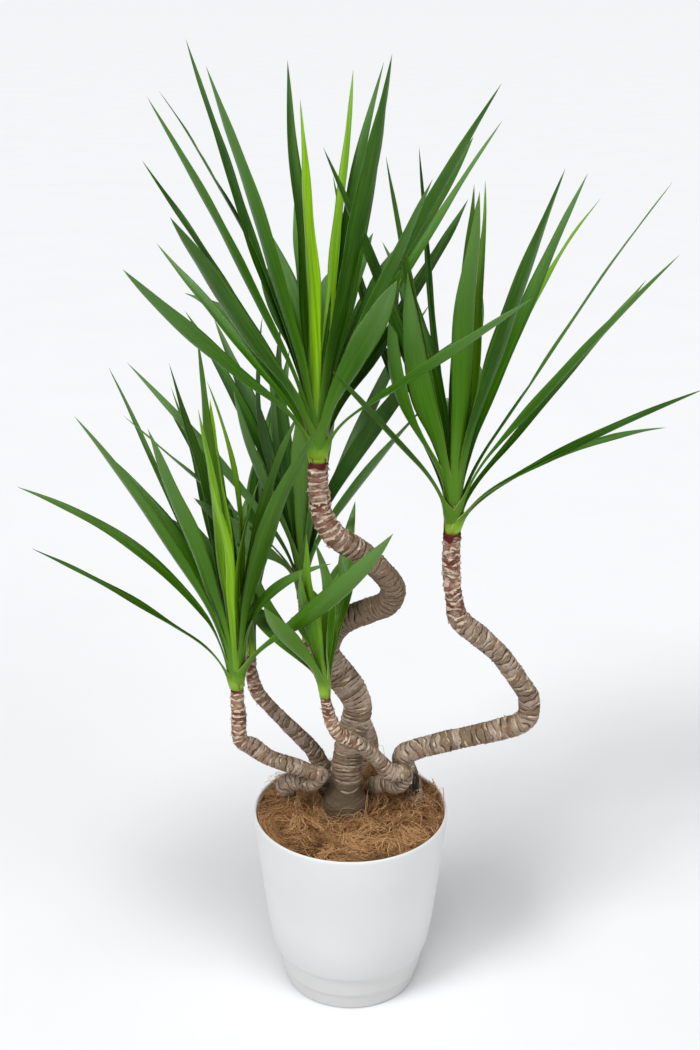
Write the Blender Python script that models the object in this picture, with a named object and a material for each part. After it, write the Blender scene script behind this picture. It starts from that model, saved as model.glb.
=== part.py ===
"""A potted yucca: six bent canes with crowns of sword leaves, in a plain round planter.

Metres, +Z up. The origin is the middle of the planter's underside, and the front of the plant
faces -Y. Each cane stands in a plain hole in the coir and the soil, and carries one crown.
"""

import math

import bmesh
import bpy
from mathutils import Vector

# Clearance between pieces that touch
GAP = 0.0003
HOLE_CLEARANCE = 0.0004

# Corners closer than this are one corner
WELD_DISTANCE = 0.00001

# The planter's axis, seen from above
CENTRE = (0.0, 0.0)

# Planter
POT_SIDES = 40
POT_WALL = 0.0045
POT_FLOOR_TOP = 0.012
POT_HEIGHT = 0.304
LIP_TOP_RADIUS = 0.1505
LIP_INNER_RADIUS = 0.1485

# Outside of the planter from its base to its lip, as height and radius: two steps in near the foot
POT_OUTSIDE = [
    (0.0, 0.1030),
    (0.003, 0.1055),
    (0.022, 0.1095),
    (0.030, 0.1135),
    (0.050, 0.1160),
    (0.059, 0.1180),
    (0.068, 0.1235),
    (0.078, 0.1262),
    (0.100, 0.1300),
    (0.130, 0.1343),
    (0.170, 0.1390),
    (0.210, 0.1436),
    (0.255, 0.1485),
    (0.300, 0.1523),
]

# Inside of the planter from its floor to its lip, as height and radius
POT_INSIDE = [
    (POT_FLOOR_TOP, 0.0980),
    (0.060, 0.1120),
    (0.100, 0.1300 - POT_WALL),
    (0.170, 0.1390 - POT_WALL),
    (0.255, 0.1485 - POT_WALL),
    (0.300, 0.1523 - POT_WALL),
]

# Soil and coir
SOIL_TOP = 0.268
COIR_EDGE_HEIGHT = 0.295
COIR_MIDDLE_HEIGHT = 0.290
COIR_MOUND_RISE = 0.022
COIR_MOUND_WIDTH = 0.026
COIR_MOUND_PLACE = (0.042, 0.102)
COIR_LUMP = 0.002
COIR_LUMPS_ACROSS = 47.0
COIR_LUMPS_DEEP = 53.0
COIR_RINGS = 8
CUTTER_REACH = 0.02

# Canes
PEG_FOOT = 0.215
PEG_TOP = 0.306
CANE_RING_SPACING = 0.014
CANE_RELIEF = 0.05
CURVE_STEPS = 20

# Leaf blades: stations along the blade, with the blade's thickness at its root and further out
STATIONS = (0.0, 0.15, 0.35, 0.55, 0.74, 0.9)
BLADE_THICKNESS = 0.0016
ROOT_THICKNESS = 0.0032
ROOT_THICK_PART = 0.3
CHANNEL_RISE = 0.22
POINT_TAPER = 1.8
NECK_TO_CORE = 1.3
TWIST_PART = 0.4
ROOT_INSET = 0.4

# A low leaf has a longer and narrower neck than an upright one: the lean that counts as fully low, then
# for both kinds where the blade is widest and how wide its neck is next to that
LOW_LEAN = 75.0
WIDEST_UPRIGHT = 0.45
WIDEST_LOW = 0.62
NECK_UPRIGHT = 0.42
NECK_LOW = 0.28

# Leafy core of a crown: height as a share of the highest root, and radius as a share of the core's
CORE_SIDES = 8
CORE_SHAPE = [(0.0, 1.0), (0.3, 1.05), (0.8, 0.85), (1.15, 0.3)]

# Edges sharper than this many degrees stay crisp
POT_CREASE = 35
CANE_CREASE = 50
LEAF_CREASE = 25

# Routes of the canes from the soil to the crown, as x, y, height and radius
MAIN_CANE = [
    (-0.009, 0.003, 0.306, 0.0350),
    (-0.009, 0.003, 0.320, 0.0335),
    (-0.009, 0.003, 0.332, 0.0285),
    (-0.008, 0.003, 0.345, 0.0254),
    (-0.004, 0.005, 0.392, 0.0230),
    (0.004, 0.008, 0.436, 0.0221),
    (0.010, 0.012, 0.483, 0.0223),
    (-0.008, 0.018, 0.518, 0.0230),
    (-0.033, 0.024, 0.554, 0.0207),
    (-0.034, 0.028, 0.581, 0.0198),
    (-0.013, 0.026, 0.614, 0.0197),
    (0.026, 0.018, 0.636, 0.0188),
    (0.054, 0.008, 0.653, 0.0194),
    (0.063, -0.002, 0.680, 0.0193),
    (0.048, -0.014, 0.711, 0.0176),
    (0.016, -0.028, 0.749, 0.0174),
    (-0.018, -0.038, 0.776, 0.0172),
    (-0.038, -0.040, 0.805, 0.0157),
    (-0.045, -0.040, 0.843, 0.0142),
    (-0.046, -0.040, 0.892, 0.0141),
]
RIGHT_CANE = [
    (0.104, 0.014, 0.306, 0.0148),
    (0.099, 0.014, 0.325, 0.0142),
    (0.093, 0.012, 0.361, 0.0126),
    (0.082, 0.008, 0.390, 0.0172),
    (0.103, 0.002, 0.408, 0.0163),
    (0.143, -0.002, 0.422, 0.0162),
    (0.192, -0.004, 0.436, 0.0162),
    (0.230, -0.006, 0.447, 0.0169),
    (0.267, -0.008, 0.464, 0.0161),
    (0.272, -0.010, 0.498, 0.0167),
    (0.259, -0.014, 0.527, 0.0151),
    (0.225, -0.018, 0.578, 0.0150),
    (0.191, -0.022, 0.613, 0.0163),
    (0.160, -0.026, 0.643, 0.0155),
    (0.151, -0.030, 0.683, 0.0124),
    (0.146, -0.030, 0.726, 0.0124),
    (0.146, -0.030, 0.781, 0.0130),
]
LEFT_CANE = [
    (-0.097, 0.020, 0.306, 0.0118),
    (-0.102, 0.012, 0.337, 0.0150),
    (-0.078, 0.000, 0.352, 0.0133),
    (-0.060, -0.012, 0.355, 0.0117),
    (-0.046, -0.022, 0.376, 0.0116),
    (-0.059, -0.026, 0.383, 0.0116),
    (-0.089, -0.024, 0.394, 0.0131),
    (-0.124, -0.022, 0.406, 0.0123),
    (-0.150, -0.020, 0.424, 0.0138),
    (-0.169, -0.020, 0.438, 0.0115),
    (-0.170, -0.020, 0.478, 0.0114),
    (-0.172, -0.020, 0.505, 0.0098),
    (-0.171, -0.020, 0.525, 0.0098),
]
BACK_LEFT_CANE = [
    (-0.038, 0.045, 0.306, 0.0128),
    (-0.043, 0.045, 0.319, 0.0128),
    (-0.041, 0.046, 0.339, 0.0144),
    (-0.060, 0.048, 0.379, 0.0127),
    (-0.086, 0.050, 0.409, 0.0119),
    (-0.116, 0.050, 0.443, 0.0110),
    (-0.139, 0.050, 0.471, 0.0110),
    (-0.148, 0.050, 0.487, 0.0109),
    (-0.155, 0.050, 0.522, 0.0086),
    (-0.154, 0.050, 0.546, 0.0077),
]
FRONT_CANE = [
    (0.036, 0.038, 0.306, 0.0120),
    (0.037, 0.028, 0.326, 0.0127),
    (0.056, 0.012, 0.339, 0.0142),
    (0.077, -0.010, 0.352, 0.0132),
    (0.084, -0.018, 0.377, 0.0124),
    (0.061, -0.024, 0.382, 0.0139),
    (0.039, -0.034, 0.413, 0.0115),
    (0.011, -0.046, 0.446, 0.0106),
    (-0.019, -0.054, 0.467, 0.0105),
    (-0.032, -0.055, 0.498, 0.0090),
    (-0.038, -0.055, 0.529, 0.0074),
]
BACK_CANE = [
    (0.019, 0.076, 0.306, 0.0160),
    (0.028, 0.080, 0.322, 0.0170),
    (0.030, 0.086, 0.354, 0.0154),
    (0.030, 0.092, 0.380, 0.0129),
    (0.010, 0.094, 0.424, 0.0137),
    (-0.017, 0.092, 0.467, 0.0112),
    (-0.048, 0.090, 0.503, 0.0095),
    (-0.065, 0.088, 0.545, 0.0087),
    (-0.070, 0.086, 0.584, 0.0086),
    (-0.075, 0.085, 0.624, 0.0070),
]

# Leaves of each crown, from the upright middle to the low outside. Each row holds the compass
# heading (0 is +X, 90 is the back), the lean from upright and the twist in degrees, with the length,
# the width, the rise of the arch and the sideways bend in metres:
# heading, lean, length, width, arch, sway, twist
MAIN_LEAVES = [
    (244.0, 5.0, 0.3975, 0.036, 0.0050, -0.0025, -35),
    (109.5, 14.0, 0.4575, 0.030, 0.0075, 0.0075, 30),
    (313.5, 16.0, 0.4850, 0.034, 0.0075, 0.0150, -5),
    (220.0, 19.5, 0.4850, 0.033, 0.0075, -0.0075, 5),
    (54.5, 20.5, 0.4875, 0.034, 0.0000, -0.0025, 80),
    (143.5, 24.0, 0.5275, 0.022, 0.0025, 0.0125, 0),
    (78.5, 29.0, 0.5025, 0.025, 0.0125, -0.0075, -40),
    (334.0, 29.0, 0.5125, 0.022, 0.0100, 0.0100, -40),
    (222.0, 30.0, 0.5075, 0.019, 0.0200, -0.0275, 15),
    (70.5, 31.5, 0.5300, 0.026, 0.0225, 0.0000, -25),
    (20.5, 34.0, 0.4700, 0.022, 0.0075, -0.0050, 10),
    (140.5, 34.0, 0.5075, 0.020, 0.0450, 0.0175, 35),
    (302.0, 36.0, 0.4425, 0.019, 0.0225, 0.0225, -10),
    (233.5, 40.5, 0.4200, 0.033, 0.0075, -0.0175, 20),
    (48.5, 43.0, 0.4925, 0.039, 0.0125, -0.0100, 5),
    (112.0, 43.0, 0.3400, 0.036, 0.0275, 0.0000, 0),
    (291.0, 46.5, 0.3750, 0.038, 0.0175, 0.0150, -20),
    (72.0, 48.0, 0.3400, 0.036, 0.0300, 0.0000, 0),
    (223.5, 49.0, 0.4050, 0.025, -0.0025, -0.0250, 45),
    (131.5, 50.5, 0.5175, 0.021, 0.0100, 0.0075, 15),
    (51.0, 51.5, 0.4450, 0.032, -0.0075, -0.0075, -10),
    (96.0, 53.0, 0.4600, 0.036, 0.0325, 0.0000, 0),
    (140.0, 53.5, 0.3800, 0.019, 0.0050, 0.0100, -15),
    (329.5, 54.0, 0.3825, 0.019, -0.0025, 0.0100, -45),
    (64.0, 58.0, 0.4600, 0.036, 0.0350, 0.0000, 0),
    (72.0, 68.0, 0.4600, 0.036, 0.0400, 0.0000, 0),
    (88.0, 68.0, 0.4300, 0.036, 0.0400, 0.0000, 0),
    (104.0, 68.0, 0.4600, 0.036, 0.0400, 0.0000, 0),
    (120.0, 73.0, 0.4600, 0.036, 0.0400, 0.0000, 0),
    (88.0, 83.0, 0.4600, 0.036, 0.0400, 0.0000, 0),
]
RIGHT_LEAVES = [
    (70.0, 8.5, 0.3950, 0.037, -0.0025, -0.0025, -45),
    (279.0, 13.0, 0.4200, 0.036, 0.0100, 0.0025, 15),
    (206.0, 13.5, 0.4600, 0.027, -0.0025, -0.0100, 5),
    (206.5, 14.0, 0.3050, 0.038, -0.0150, -0.0050, 50),
    (184.5, 14.5, 0.2925, 0.034, -0.0425, -0.0050, 35),
    (71.5, 18.0, 0.4175, 0.019, 0.0100, -0.0150, -25),
    (320.0, 19.0, 0.4700, 0.034, 0.0075, 0.0075, -10),
    (185.0, 21.0, 0.4950, 0.030, 0.0050, 0.0025, 40),
    (136.0, 23.0, 0.3500, 0.034, 0.0200, 0.0000, 0),
    (28.0, 25.5, 0.4650, 0.037, 0.0075, -0.0050, -5),
    (101.0, 28.0, 0.5000, 0.019, 0.0150, 0.0100, 45),
    (80.0, 33.0, 0.4400, 0.034, 0.0250, 0.0000, 0),
    (339.0, 38.5, 0.4600, 0.017, 0.0050, 0.0025, -50),
    (31.5, 42.0, 0.5550, 0.017, 0.0250, -0.0225, -45),
    (117.5, 42.5, 0.5475, 0.017, 0.0100, 0.0300, -5),
    (80.0, 43.0, 0.4400, 0.034, 0.0275, 0.0000, 0),
    (226.0, 45.5, 0.3350, 0.018, 0.0075, -0.0200, 10),
    (104.0, 48.0, 0.4400, 0.034, 0.0300, 0.0000, 0),
    (55.5, 49.0, 0.5675, 0.022, 0.0275, 0.0125, -35),
    (39.5, 55.0, 0.4750, 0.026, 0.0075, -0.0125, -10),
    (80.0, 58.0, 0.4400, 0.034, 0.0350, 0.0000, 0),
    (341.0, 58.0, 0.3875, 0.023, 0.0000, 0.0250, 20),
    (96.0, 68.0, 0.4400, 0.034, 0.0400, 0.0000, 0),
    (80.0, 73.0, 0.4100, 0.034, 0.0400, 0.0000, 0),
    (20.0, 73.5, 0.3525, 0.020, 0.0250, 0.0025, 5),
    (88.0, 83.0, 0.4400, 0.034, 0.0400, 0.0000, 0),
]
LEFT_LEAVES = [
    (188.5, 3.5, 0.4000, 0.021, 0.0275, -0.0050, -25),
    (244.5, 6.5, 0.3900, 0.030, 0.0150, -0.0125, -15),
    (0.0, 8.0, 0.2600, 0.030, 0.0125, 0.0000, 0),
    (247.0, 9.0, 0.4925, 0.020, 0.0075, -0.0050, 5),
    (120.0, 13.0, 0.3800, 0.030, 0.0150, 0.0000, 0),
    (251.0, 13.5, 0.4050, 0.017, 0.0175, -0.0075, -5),
    (32.0, 18.0, 0.3800, 0.030, 0.0175, 0.0000, 0),
    (261.5, 21.0, 0.3500, 0.018, 0.0125, 0.0025, -20),
    (329.0, 21.5, 0.4000, 0.033, 0.0175, -0.0025, -30),
    (233.0, 22.0, 0.4150, 0.029, 0.0100, -0.0125, 20),
    (121.0, 26.0, 0.4425, 0.030, 0.0150, 0.0000, 40),
    (221.5, 30.0, 0.4850, 0.025, 0.0175, -0.0225, 20),
    (115.5, 35.0, 0.4300, 0.017, 0.0125, -0.0050, 30),
    (134.0, 36.0, 0.4825, 0.019, 0.0125, 0.0025, 20),
    (347.5, 40.5, 0.2200, 0.027, 0.0325, -0.0025, 25),
    (88.0, 43.0, 0.2600, 0.030, 0.0275, 0.0000, 0),
    (139.0, 44.0, 0.3600, 0.033, 0.0250, 0.0025, 0),
    (195.0, 44.0, 0.4225, 0.021, 0.0400, 0.0125, -40),
    (320.0, 46.0, 0.4050, 0.032, -0.0100, 0.0200, -60),
    (201.0, 51.0, 0.3650, 0.017, 0.0050, -0.0075, -15),
    (96.0, 73.0, 0.3800, 0.030, 0.0400, 0.0000, 0),
    (96.0, 83.0, 0.3800, 0.030, 0.0400, 0.0000, 0),
]
BACK_LEFT_LEAVES = [
    (159.5, 28.5, 0.1950, 0.036, 0.0025, 0.0025, -65),
    (125.0, 37.0, 0.3650, 0.030, 0.0250, -0.0125, 5),
    (82.0, 38.0, 0.4050, 0.032, 0.0150, 0.0075, 0),
    (80.0, 39.5, 0.4800, 0.033, 0.0150, 0.0000, 25),
    (87.0, 42.0, 0.3450, 0.028, 0.0300, 0.0050, -45),
    (152.0, 43.0, 0.2400, 0.028, 0.0275, 0.0000, 0),
    (112.0, 48.0, 0.3600, 0.028, 0.0300, 0.0000, 0),
    (104.0, 58.0, 0.3000, 0.028, 0.0350, 0.0000, 0),
    (88.0, 63.0, 0.3600, 0.028, 0.0375, 0.0000, 0),
    (96.0, 78.0, 0.3600, 0.028, 0.0400, 0.0000, 0),
]
FRONT_LEAVES = [
    (32.0, 8.0, 0.1500, 0.034, 0.0125, 0.0000, 0),
    (235.0, 9.5, 0.2300, 0.022, -0.0025, -0.0075, 0),
    (222.0, 14.0, 0.1750, 0.023, -0.0025, -0.0075, 20),
    (103.0, 18.5, 0.1900, 0.021, 0.0075, -0.0125, 0),
    (72.5, 33.5, 0.2650, 0.034, -0.0025, -0.0025, -10),
    (228.5, 38.0, 0.1950, 0.033, 0.0000, -0.0125, 25),
    (141.5, 42.5, 0.2550, 0.031, -0.0075, 0.0150, 15),
    (104.0, 48.0, 0.1500, 0.034, 0.0300, 0.0000, 0),
    (80.0, 53.0, 0.2100, 0.034, 0.0325, 0.0000, 0),
    (150.5, 54.5, 0.1725, 0.037, 0.0025, 0.0050, -20),
    (112.0, 73.0, 0.1500, 0.034, 0.0400, 0.0000, 0),
]
BACK_LEAVES = [
    (271.0, 5.0, 0.2550, 0.032, 0.0050, 0.0000, -20),
    (332.5, 12.0, 0.2700, 0.032, -0.0050, 0.0050, -15),
    (201.5, 20.0, 0.2850, 0.033, -0.0100, -0.0125, 15),
    (105.0, 20.5, 0.3500, 0.024, 0.0275, 0.0200, 20),
    (115.5, 21.5, 0.3675, 0.017, -0.0050, 0.0300, 30),
    (144.5, 31.0, 0.4200, 0.029, 0.0200, -0.0025, 0),
    (333.5, 35.5, 0.3425, 0.030, 0.0050, -0.0050, -15),
    (23.0, 37.5, 0.4125, 0.030, 0.0325, 0.0025, 35),
    (44.5, 37.5, 0.4575, 0.030, 0.0125, 0.0050, -5),
    (88.0, 38.0, 0.3800, 0.032, 0.0275, 0.0000, 0),
    (121.5, 39.5, 0.4275, 0.036, 0.0300, 0.0100, 15),
    (168.0, 40.5, 0.4050, 0.016, 0.0075, -0.0025, -75),
    (104.0, 43.0, 0.3800, 0.032, 0.0275, 0.0000, 0),
    (178.5, 46.5, 0.3575, 0.019, 0.0000, -0.0025, 15),
    (207.0, 48.5, 0.2250, 0.034, -0.0075, -0.0075, -55),
    (80.0, 53.0, 0.3800, 0.032, 0.0325, 0.0000, 0),
    (104.0, 63.0, 0.3500, 0.032, 0.0375, 0.0000, 0),
    (88.0, 68.0, 0.3800, 0.032, 0.0400, 0.0000, 0),
    (88.0, 83.0, 0.3800, 0.032, 0.0400, 0.0000, 0),
]

# Every head of the plant: name, cane, sides of the cane, leaves, radius of the leafy core, and how far
# above the crown's foot the lowest and the highest leaves root
HEADS = [
    ("main", MAIN_CANE, 12, MAIN_LEAVES, 0.0145, 0.020, 0.105),
    ("right", RIGHT_CANE, 10, RIGHT_LEAVES, 0.0130, 0.020, 0.105),
    ("left", LEFT_CANE, 8, LEFT_LEAVES, 0.0120, 0.020, 0.085),
    ("back_left", BACK_LEFT_CANE, 8, BACK_LEFT_LEAVES, 0.0080, 0.015, 0.060),
    ("front", FRONT_CANE, 8, FRONT_LEAVES, 0.0085, 0.020, 0.050),
    ("back", BACK_CANE, 8, BACK_LEAVES, 0.0085, 0.020, 0.100),
]

# Colours
WHITE_PLASTIC = (0.80, 0.81, 0.80)
DARK_SOIL = (0.05, 0.035, 0.025)
COIR_BROWN = (0.32, 0.18, 0.08)
BARK_BROWN = (0.28, 0.21, 0.15)
LEAF_GREEN = (0.05, 0.16, 0.03)


def clear_scene():
    """Start from an empty scene."""
    for thing in list(bpy.data.objects):
        bpy.data.objects.remove(thing, do_unlink=True)


def surface(name, colour, roughness, metallic=0.0):
    """A plain material of one colour."""
    material = bpy.data.materials.new(name)
    material.use_nodes = True
    shader = material.node_tree.nodes["Principled BSDF"]
    shader.inputs["Base Color"].default_value = (*colour, 1.0)
    shader.inputs["Roughness"].default_value = roughness
    shader.inputs["Metallic"].default_value = metallic
    return material


def solid(name, corners, faces, material=None, smooth_angle=None):
    """An object made of the given corners and faces."""
    mesh = bpy.data.meshes.new(name)
    mesh.from_pydata(corners, [], faces)
    mesh.validate()
    if material:
        mesh.materials.append(material)
    if smooth_angle:
        mesh.shade_smooth()
        mesh.set_sharp_from_angle(angle=math.radians(smooth_angle))
    thing = bpy.data.objects.new(name, mesh)
    bpy.context.collection.objects.link(thing)
    return thing


def ring_faces(first, second, sides):
    """Faces between two rings of corners that start at the given numbers."""
    faces = []
    for k in range(sides):
        after = (k + 1) % sides
        faces.append((first + k, first + after, second + after, second + k))
    return faces


def circle(centre, radius, height, sides):
    """Corners of a level ring."""
    corners = []
    for k in range(sides):
        angle = 2.0 * math.pi * k / sides
        x = centre[0] + radius * math.cos(angle)
        y = centre[1] + radius * math.sin(angle)
        corners.append((x, y, height))
    return corners


def turned(name, outline, sides, material=None, smooth_angle=None, centre=CENTRE):
    """A solid turned round the vertical, from an outline of heights and radii, flat at both ends."""
    corners = []
    faces = [tuple(reversed(range(sides)))]
    for height, radius in outline:
        corners += circle(centre, radius, height, sides)
    for i in range(len(outline) - 1):
        faces += ring_faces(i * sides, (i + 1) * sides, sides)
    last = (len(outline) - 1) * sides
    faces.append(tuple(range(last, last + sides)))
    return solid(name, corners, faces, material, smooth_angle)


def inside_radius(height):
    """Radius of the planter's inside at a height."""
    for (low, low_radius), (high, high_radius) in zip(POT_INSIDE, POT_INSIDE[1:]):
        if height <= high:
            return low_radius + (high_radius - low_radius) * (height - low) / (high - low)
    return POT_INSIDE[-1][1]


def filling_outline(bottom, top):
    """Outline of what fills the planter between two heights, just clear of its wall."""
    heights = [bottom] + [h for h, _ in POT_INSIDE if bottom < h < top] + [top]
    return [(h, inside_radius(h) - GAP) for h in heights]


def apply_modifiers(thing):
    """Keep the shape that the modifiers give, and take them off."""
    view = bpy.context.evaluated_depsgraph_get()
    mesh = bpy.data.meshes.new_from_object(thing.evaluated_get(view))
    thing.modifiers.clear()
    thing.data = mesh


def combine(thing, others, operation, solver):
    """Join the other objects to this one, or cut them out of it, and remove them."""
    group = bpy.data.collections.new("joined")
    bpy.context.scene.collection.children.link(group)
    for other in others:
        bpy.context.collection.objects.unlink(other)
        group.objects.link(other)
    step = thing.modifiers.new("combine", "BOOLEAN")
    step.operation = operation
    step.operand_type = "COLLECTION"
    step.collection = group
    step.solver = solver
    apply_modifiers(thing)
    for other in others:
        bpy.data.objects.remove(other, do_unlink=True)
    bpy.data.collections.remove(group)


def keep_main_body(thing):
    """Fill any hollow that joining sealed and drop loose scraps: only the largest body stays."""
    shape = bmesh.new()
    shape.from_mesh(thing.data)
    bmesh.ops.remove_doubles(shape, verts=shape.verts, dist=WELD_DISTANCE)
    bmesh.ops.dissolve_degenerate(shape, edges=shape.edges, dist=WELD_DISTANCE)
    unseen = set(shape.faces)
    bodies = []
    while unseen:
        reached = [unseen.pop()]
        body = []
        while reached:
            face = reached.pop()
            body.append(face)
            for edge in face.edges:
                for near in edge.link_faces:
                    if near in unseen:
                        unseen.remove(near)
                        reached.append(near)
        bodies.append(body)
    bodies.sort(key=len)
    for body in bodies[:-1]:
        bmesh.ops.delete(shape, geom=body, context="FACES")
    shape.to_mesh(thing.data)
    shape.free()


def make_planter():
    """The planter: an open round tub with a rounded lip and a flat underside."""
    outline = list(POT_OUTSIDE)
    outline += [(POT_HEIGHT, LIP_TOP_RADIUS), (POT_HEIGHT, LIP_INNER_RADIUS)]
    outline += list(reversed(POT_INSIDE))
    material = surface("planter_white", WHITE_PLASTIC, 0.45)
    return turned("planter", outline, POT_SIDES, material, POT_CREASE)


def peg_holes(sides_and_routes, bottom, top):
    """Plain round cutters for the holes that the canes stand in."""
    cutters = []
    for sides, route in sides_and_routes:
        x, y, _, radius = route[0]
        outline = [(bottom, radius + HOLE_CLEARANCE), (top, radius + HOLE_CLEARANCE)]
        cutters.append(turned("hole", outline, sides, centre=(x, y)))
    return cutters


def make_soil():
    """The soil that fills the planter, with a blind hole for each cane."""
    material = surface("soil_dark", DARK_SOIL, 0.95)
    outline = filling_outline(POT_FLOOR_TOP + GAP, SOIL_TOP)
    soil = turned("potting_soil", outline, POT_SIDES, material)
    canes = [(head[2], head[1]) for head in HEADS]
    combine(soil, peg_holes(canes, PEG_FOOT - GAP, SOIL_TOP + CUTTER_REACH), "DIFFERENCE", "EXACT")
    return soil


def coir_height(x, y, edge_radius):
    """Height of the coir: a shallow bowl, slightly lumpy, with a mound behind the canes."""
    out = math.hypot(x, y) / edge_radius
    bowl = COIR_MIDDLE_HEIGHT + (COIR_EDGE_HEIGHT - COIR_MIDDLE_HEIGHT) * out ** 2
    away = math.dist((x, y), COIR_MOUND_PLACE) / COIR_MOUND_WIDTH
    mound = COIR_MOUND_RISE * math.exp(-away ** 2)
    lumps = math.sin(COIR_LUMPS_ACROSS * x + 1.3) * math.cos(COIR_LUMPS_DEEP * y - 0.4)
    return bowl + (mound + COIR_LUMP * lumps) * (1.0 - out ** 4)


def make_coir():
    """The layer of coir on the soil, with a hole through it for each cane."""
    bottom = SOIL_TOP + GAP
    outline = filling_outline(bottom, COIR_EDGE_HEIGHT)
    edge_radius = outline[-1][1]
    corners = []
    faces = [tuple(reversed(range(POT_SIDES)))]
    for height, radius in outline:
        corners += circle(CENTRE, radius, height, POT_SIDES)
    rings = len(outline)
    for step in range(1, COIR_RINGS):
        radius = edge_radius * (1.0 - step / COIR_RINGS)
        for x, y, _ in circle(CENTRE, radius, 0.0, POT_SIDES):
            corners.append((x, y, coir_height(x, y, edge_radius)))
        rings += 1
    for i in range(rings - 1):
        faces += ring_faces(i * POT_SIDES, (i + 1) * POT_SIDES, POT_SIDES)
    last = (rings - 1) * POT_SIDES
    corners.append((0.0, 0.0, coir_height(0.0, 0.0, edge_radius)))
    for k in range(POT_SIDES):
        faces.append((last + k, last + (k + 1) % POT_SIDES, len(corners) - 1))
    material = surface("coir_brown", COIR_BROWN, 0.95)
    coir = solid("coir_mulch", corners, faces, material)
    canes = [(head[2], head[1]) for head in HEADS]
    top = COIR_EDGE_HEIGHT + COIR_MOUND_RISE + CUTTER_REACH
    combine(coir, peg_holes(canes, bottom - CUTTER_REACH, top), "DIFFERENCE", "EXACT")
    return coir


def smooth_point(before, start, end, after, share):
    """A point between start and end on a smooth curve through all four."""
    result = []
    for a, b, c, d in zip(before, start, end, after):
        value = 2.0 * b + (c - a) * share
        value += (2.0 * a - 5.0 * b + 4.0 * c - d) * share ** 2
        value += (3.0 * b - a - 3.0 * c + d) * share ** 3
        result.append(0.5 * value)
    return result


def cane_path(route):
    """Centres and radii of the cane's rings, evenly spaced on a smooth curve through its route."""
    under = (route[0][0], route[0][1], 2.0 * route[0][2] - route[1][2], route[0][3])
    over = (route[-1][0], route[-1][1], 2.0 * route[-1][2] - route[-2][2], route[-1][3])
    points = [under, *route, over]
    fine = []
    for i in range(1, len(points) - 2):
        for k in range(CURVE_STEPS):
            fine.append(smooth_point(*points[i - 1:i + 3], k / CURVE_STEPS))
    fine.append(list(route[-1]))
    rings = [fine[0]]
    travelled = 0.0
    for last, point in zip(fine, fine[1:]):
        travelled += math.dist(last[:3], point[:3])
        if travelled >= CANE_RING_SPACING:
            rings.append(point)
            travelled = 0.0
    rings[-1] = fine[-1]
    return rings


def make_cane(name, route, sides):
    """A cane: a straight peg in the soil, then a bent stem whose rings stand out in turn."""
    rings = cane_path(route)
    x, y, _, radius = route[0]
    corners = circle((x, y), radius, PEG_FOOT, sides) + circle((x, y), radius, PEG_TOP, sides)
    across = Vector((1.0, 0.0, 0.0))
    for i in range(1, len(rings)):
        centre = Vector(rings[i][:3])
        size = rings[i][3] * (1.0 + CANE_RELIEF * (1.0 if i % 2 else -1.0))
        ahead = Vector(rings[min(i + 1, len(rings) - 1)][:3])
        along = (ahead - Vector(rings[i - 1][:3])).normalized()
        if i == len(rings) - 1:
            along = Vector((0.0, 0.0, 1.0))
            centre.z -= GAP
            size = rings[i][3]
        across = (across - along * across.dot(along)).normalized()
        other = along.cross(across)
        for k in range(sides):
            angle = 2.0 * math.pi * k / sides
            corners.append(centre + size * (math.cos(angle) * across + math.sin(angle) * other))
    count = len(rings) + 1
    faces = [tuple(reversed(range(sides)))]
    for i in range(count - 1):
        faces += ring_faces(i * sides, (i + 1) * sides, sides)
    faces.append(tuple(range((count - 1) * sides, count * sides)))
    material = surface(name + "_bark", BARK_BROWN, 0.8)
    return solid(name, corners, faces, material, CANE_CREASE)


def blade_spread(share, neck, widest):
    """Width of a blade at a share of its length, next to its greatest width."""
    rise = min(share / widest, 1.0)
    fall = max((share - widest) / (1.0 - widest), 0.0)
    grown = neck + (1.0 - neck) * rise * rise * (3.0 - 2.0 * rise)
    return grown * (1.0 - fall ** POINT_TAPER)


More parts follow.
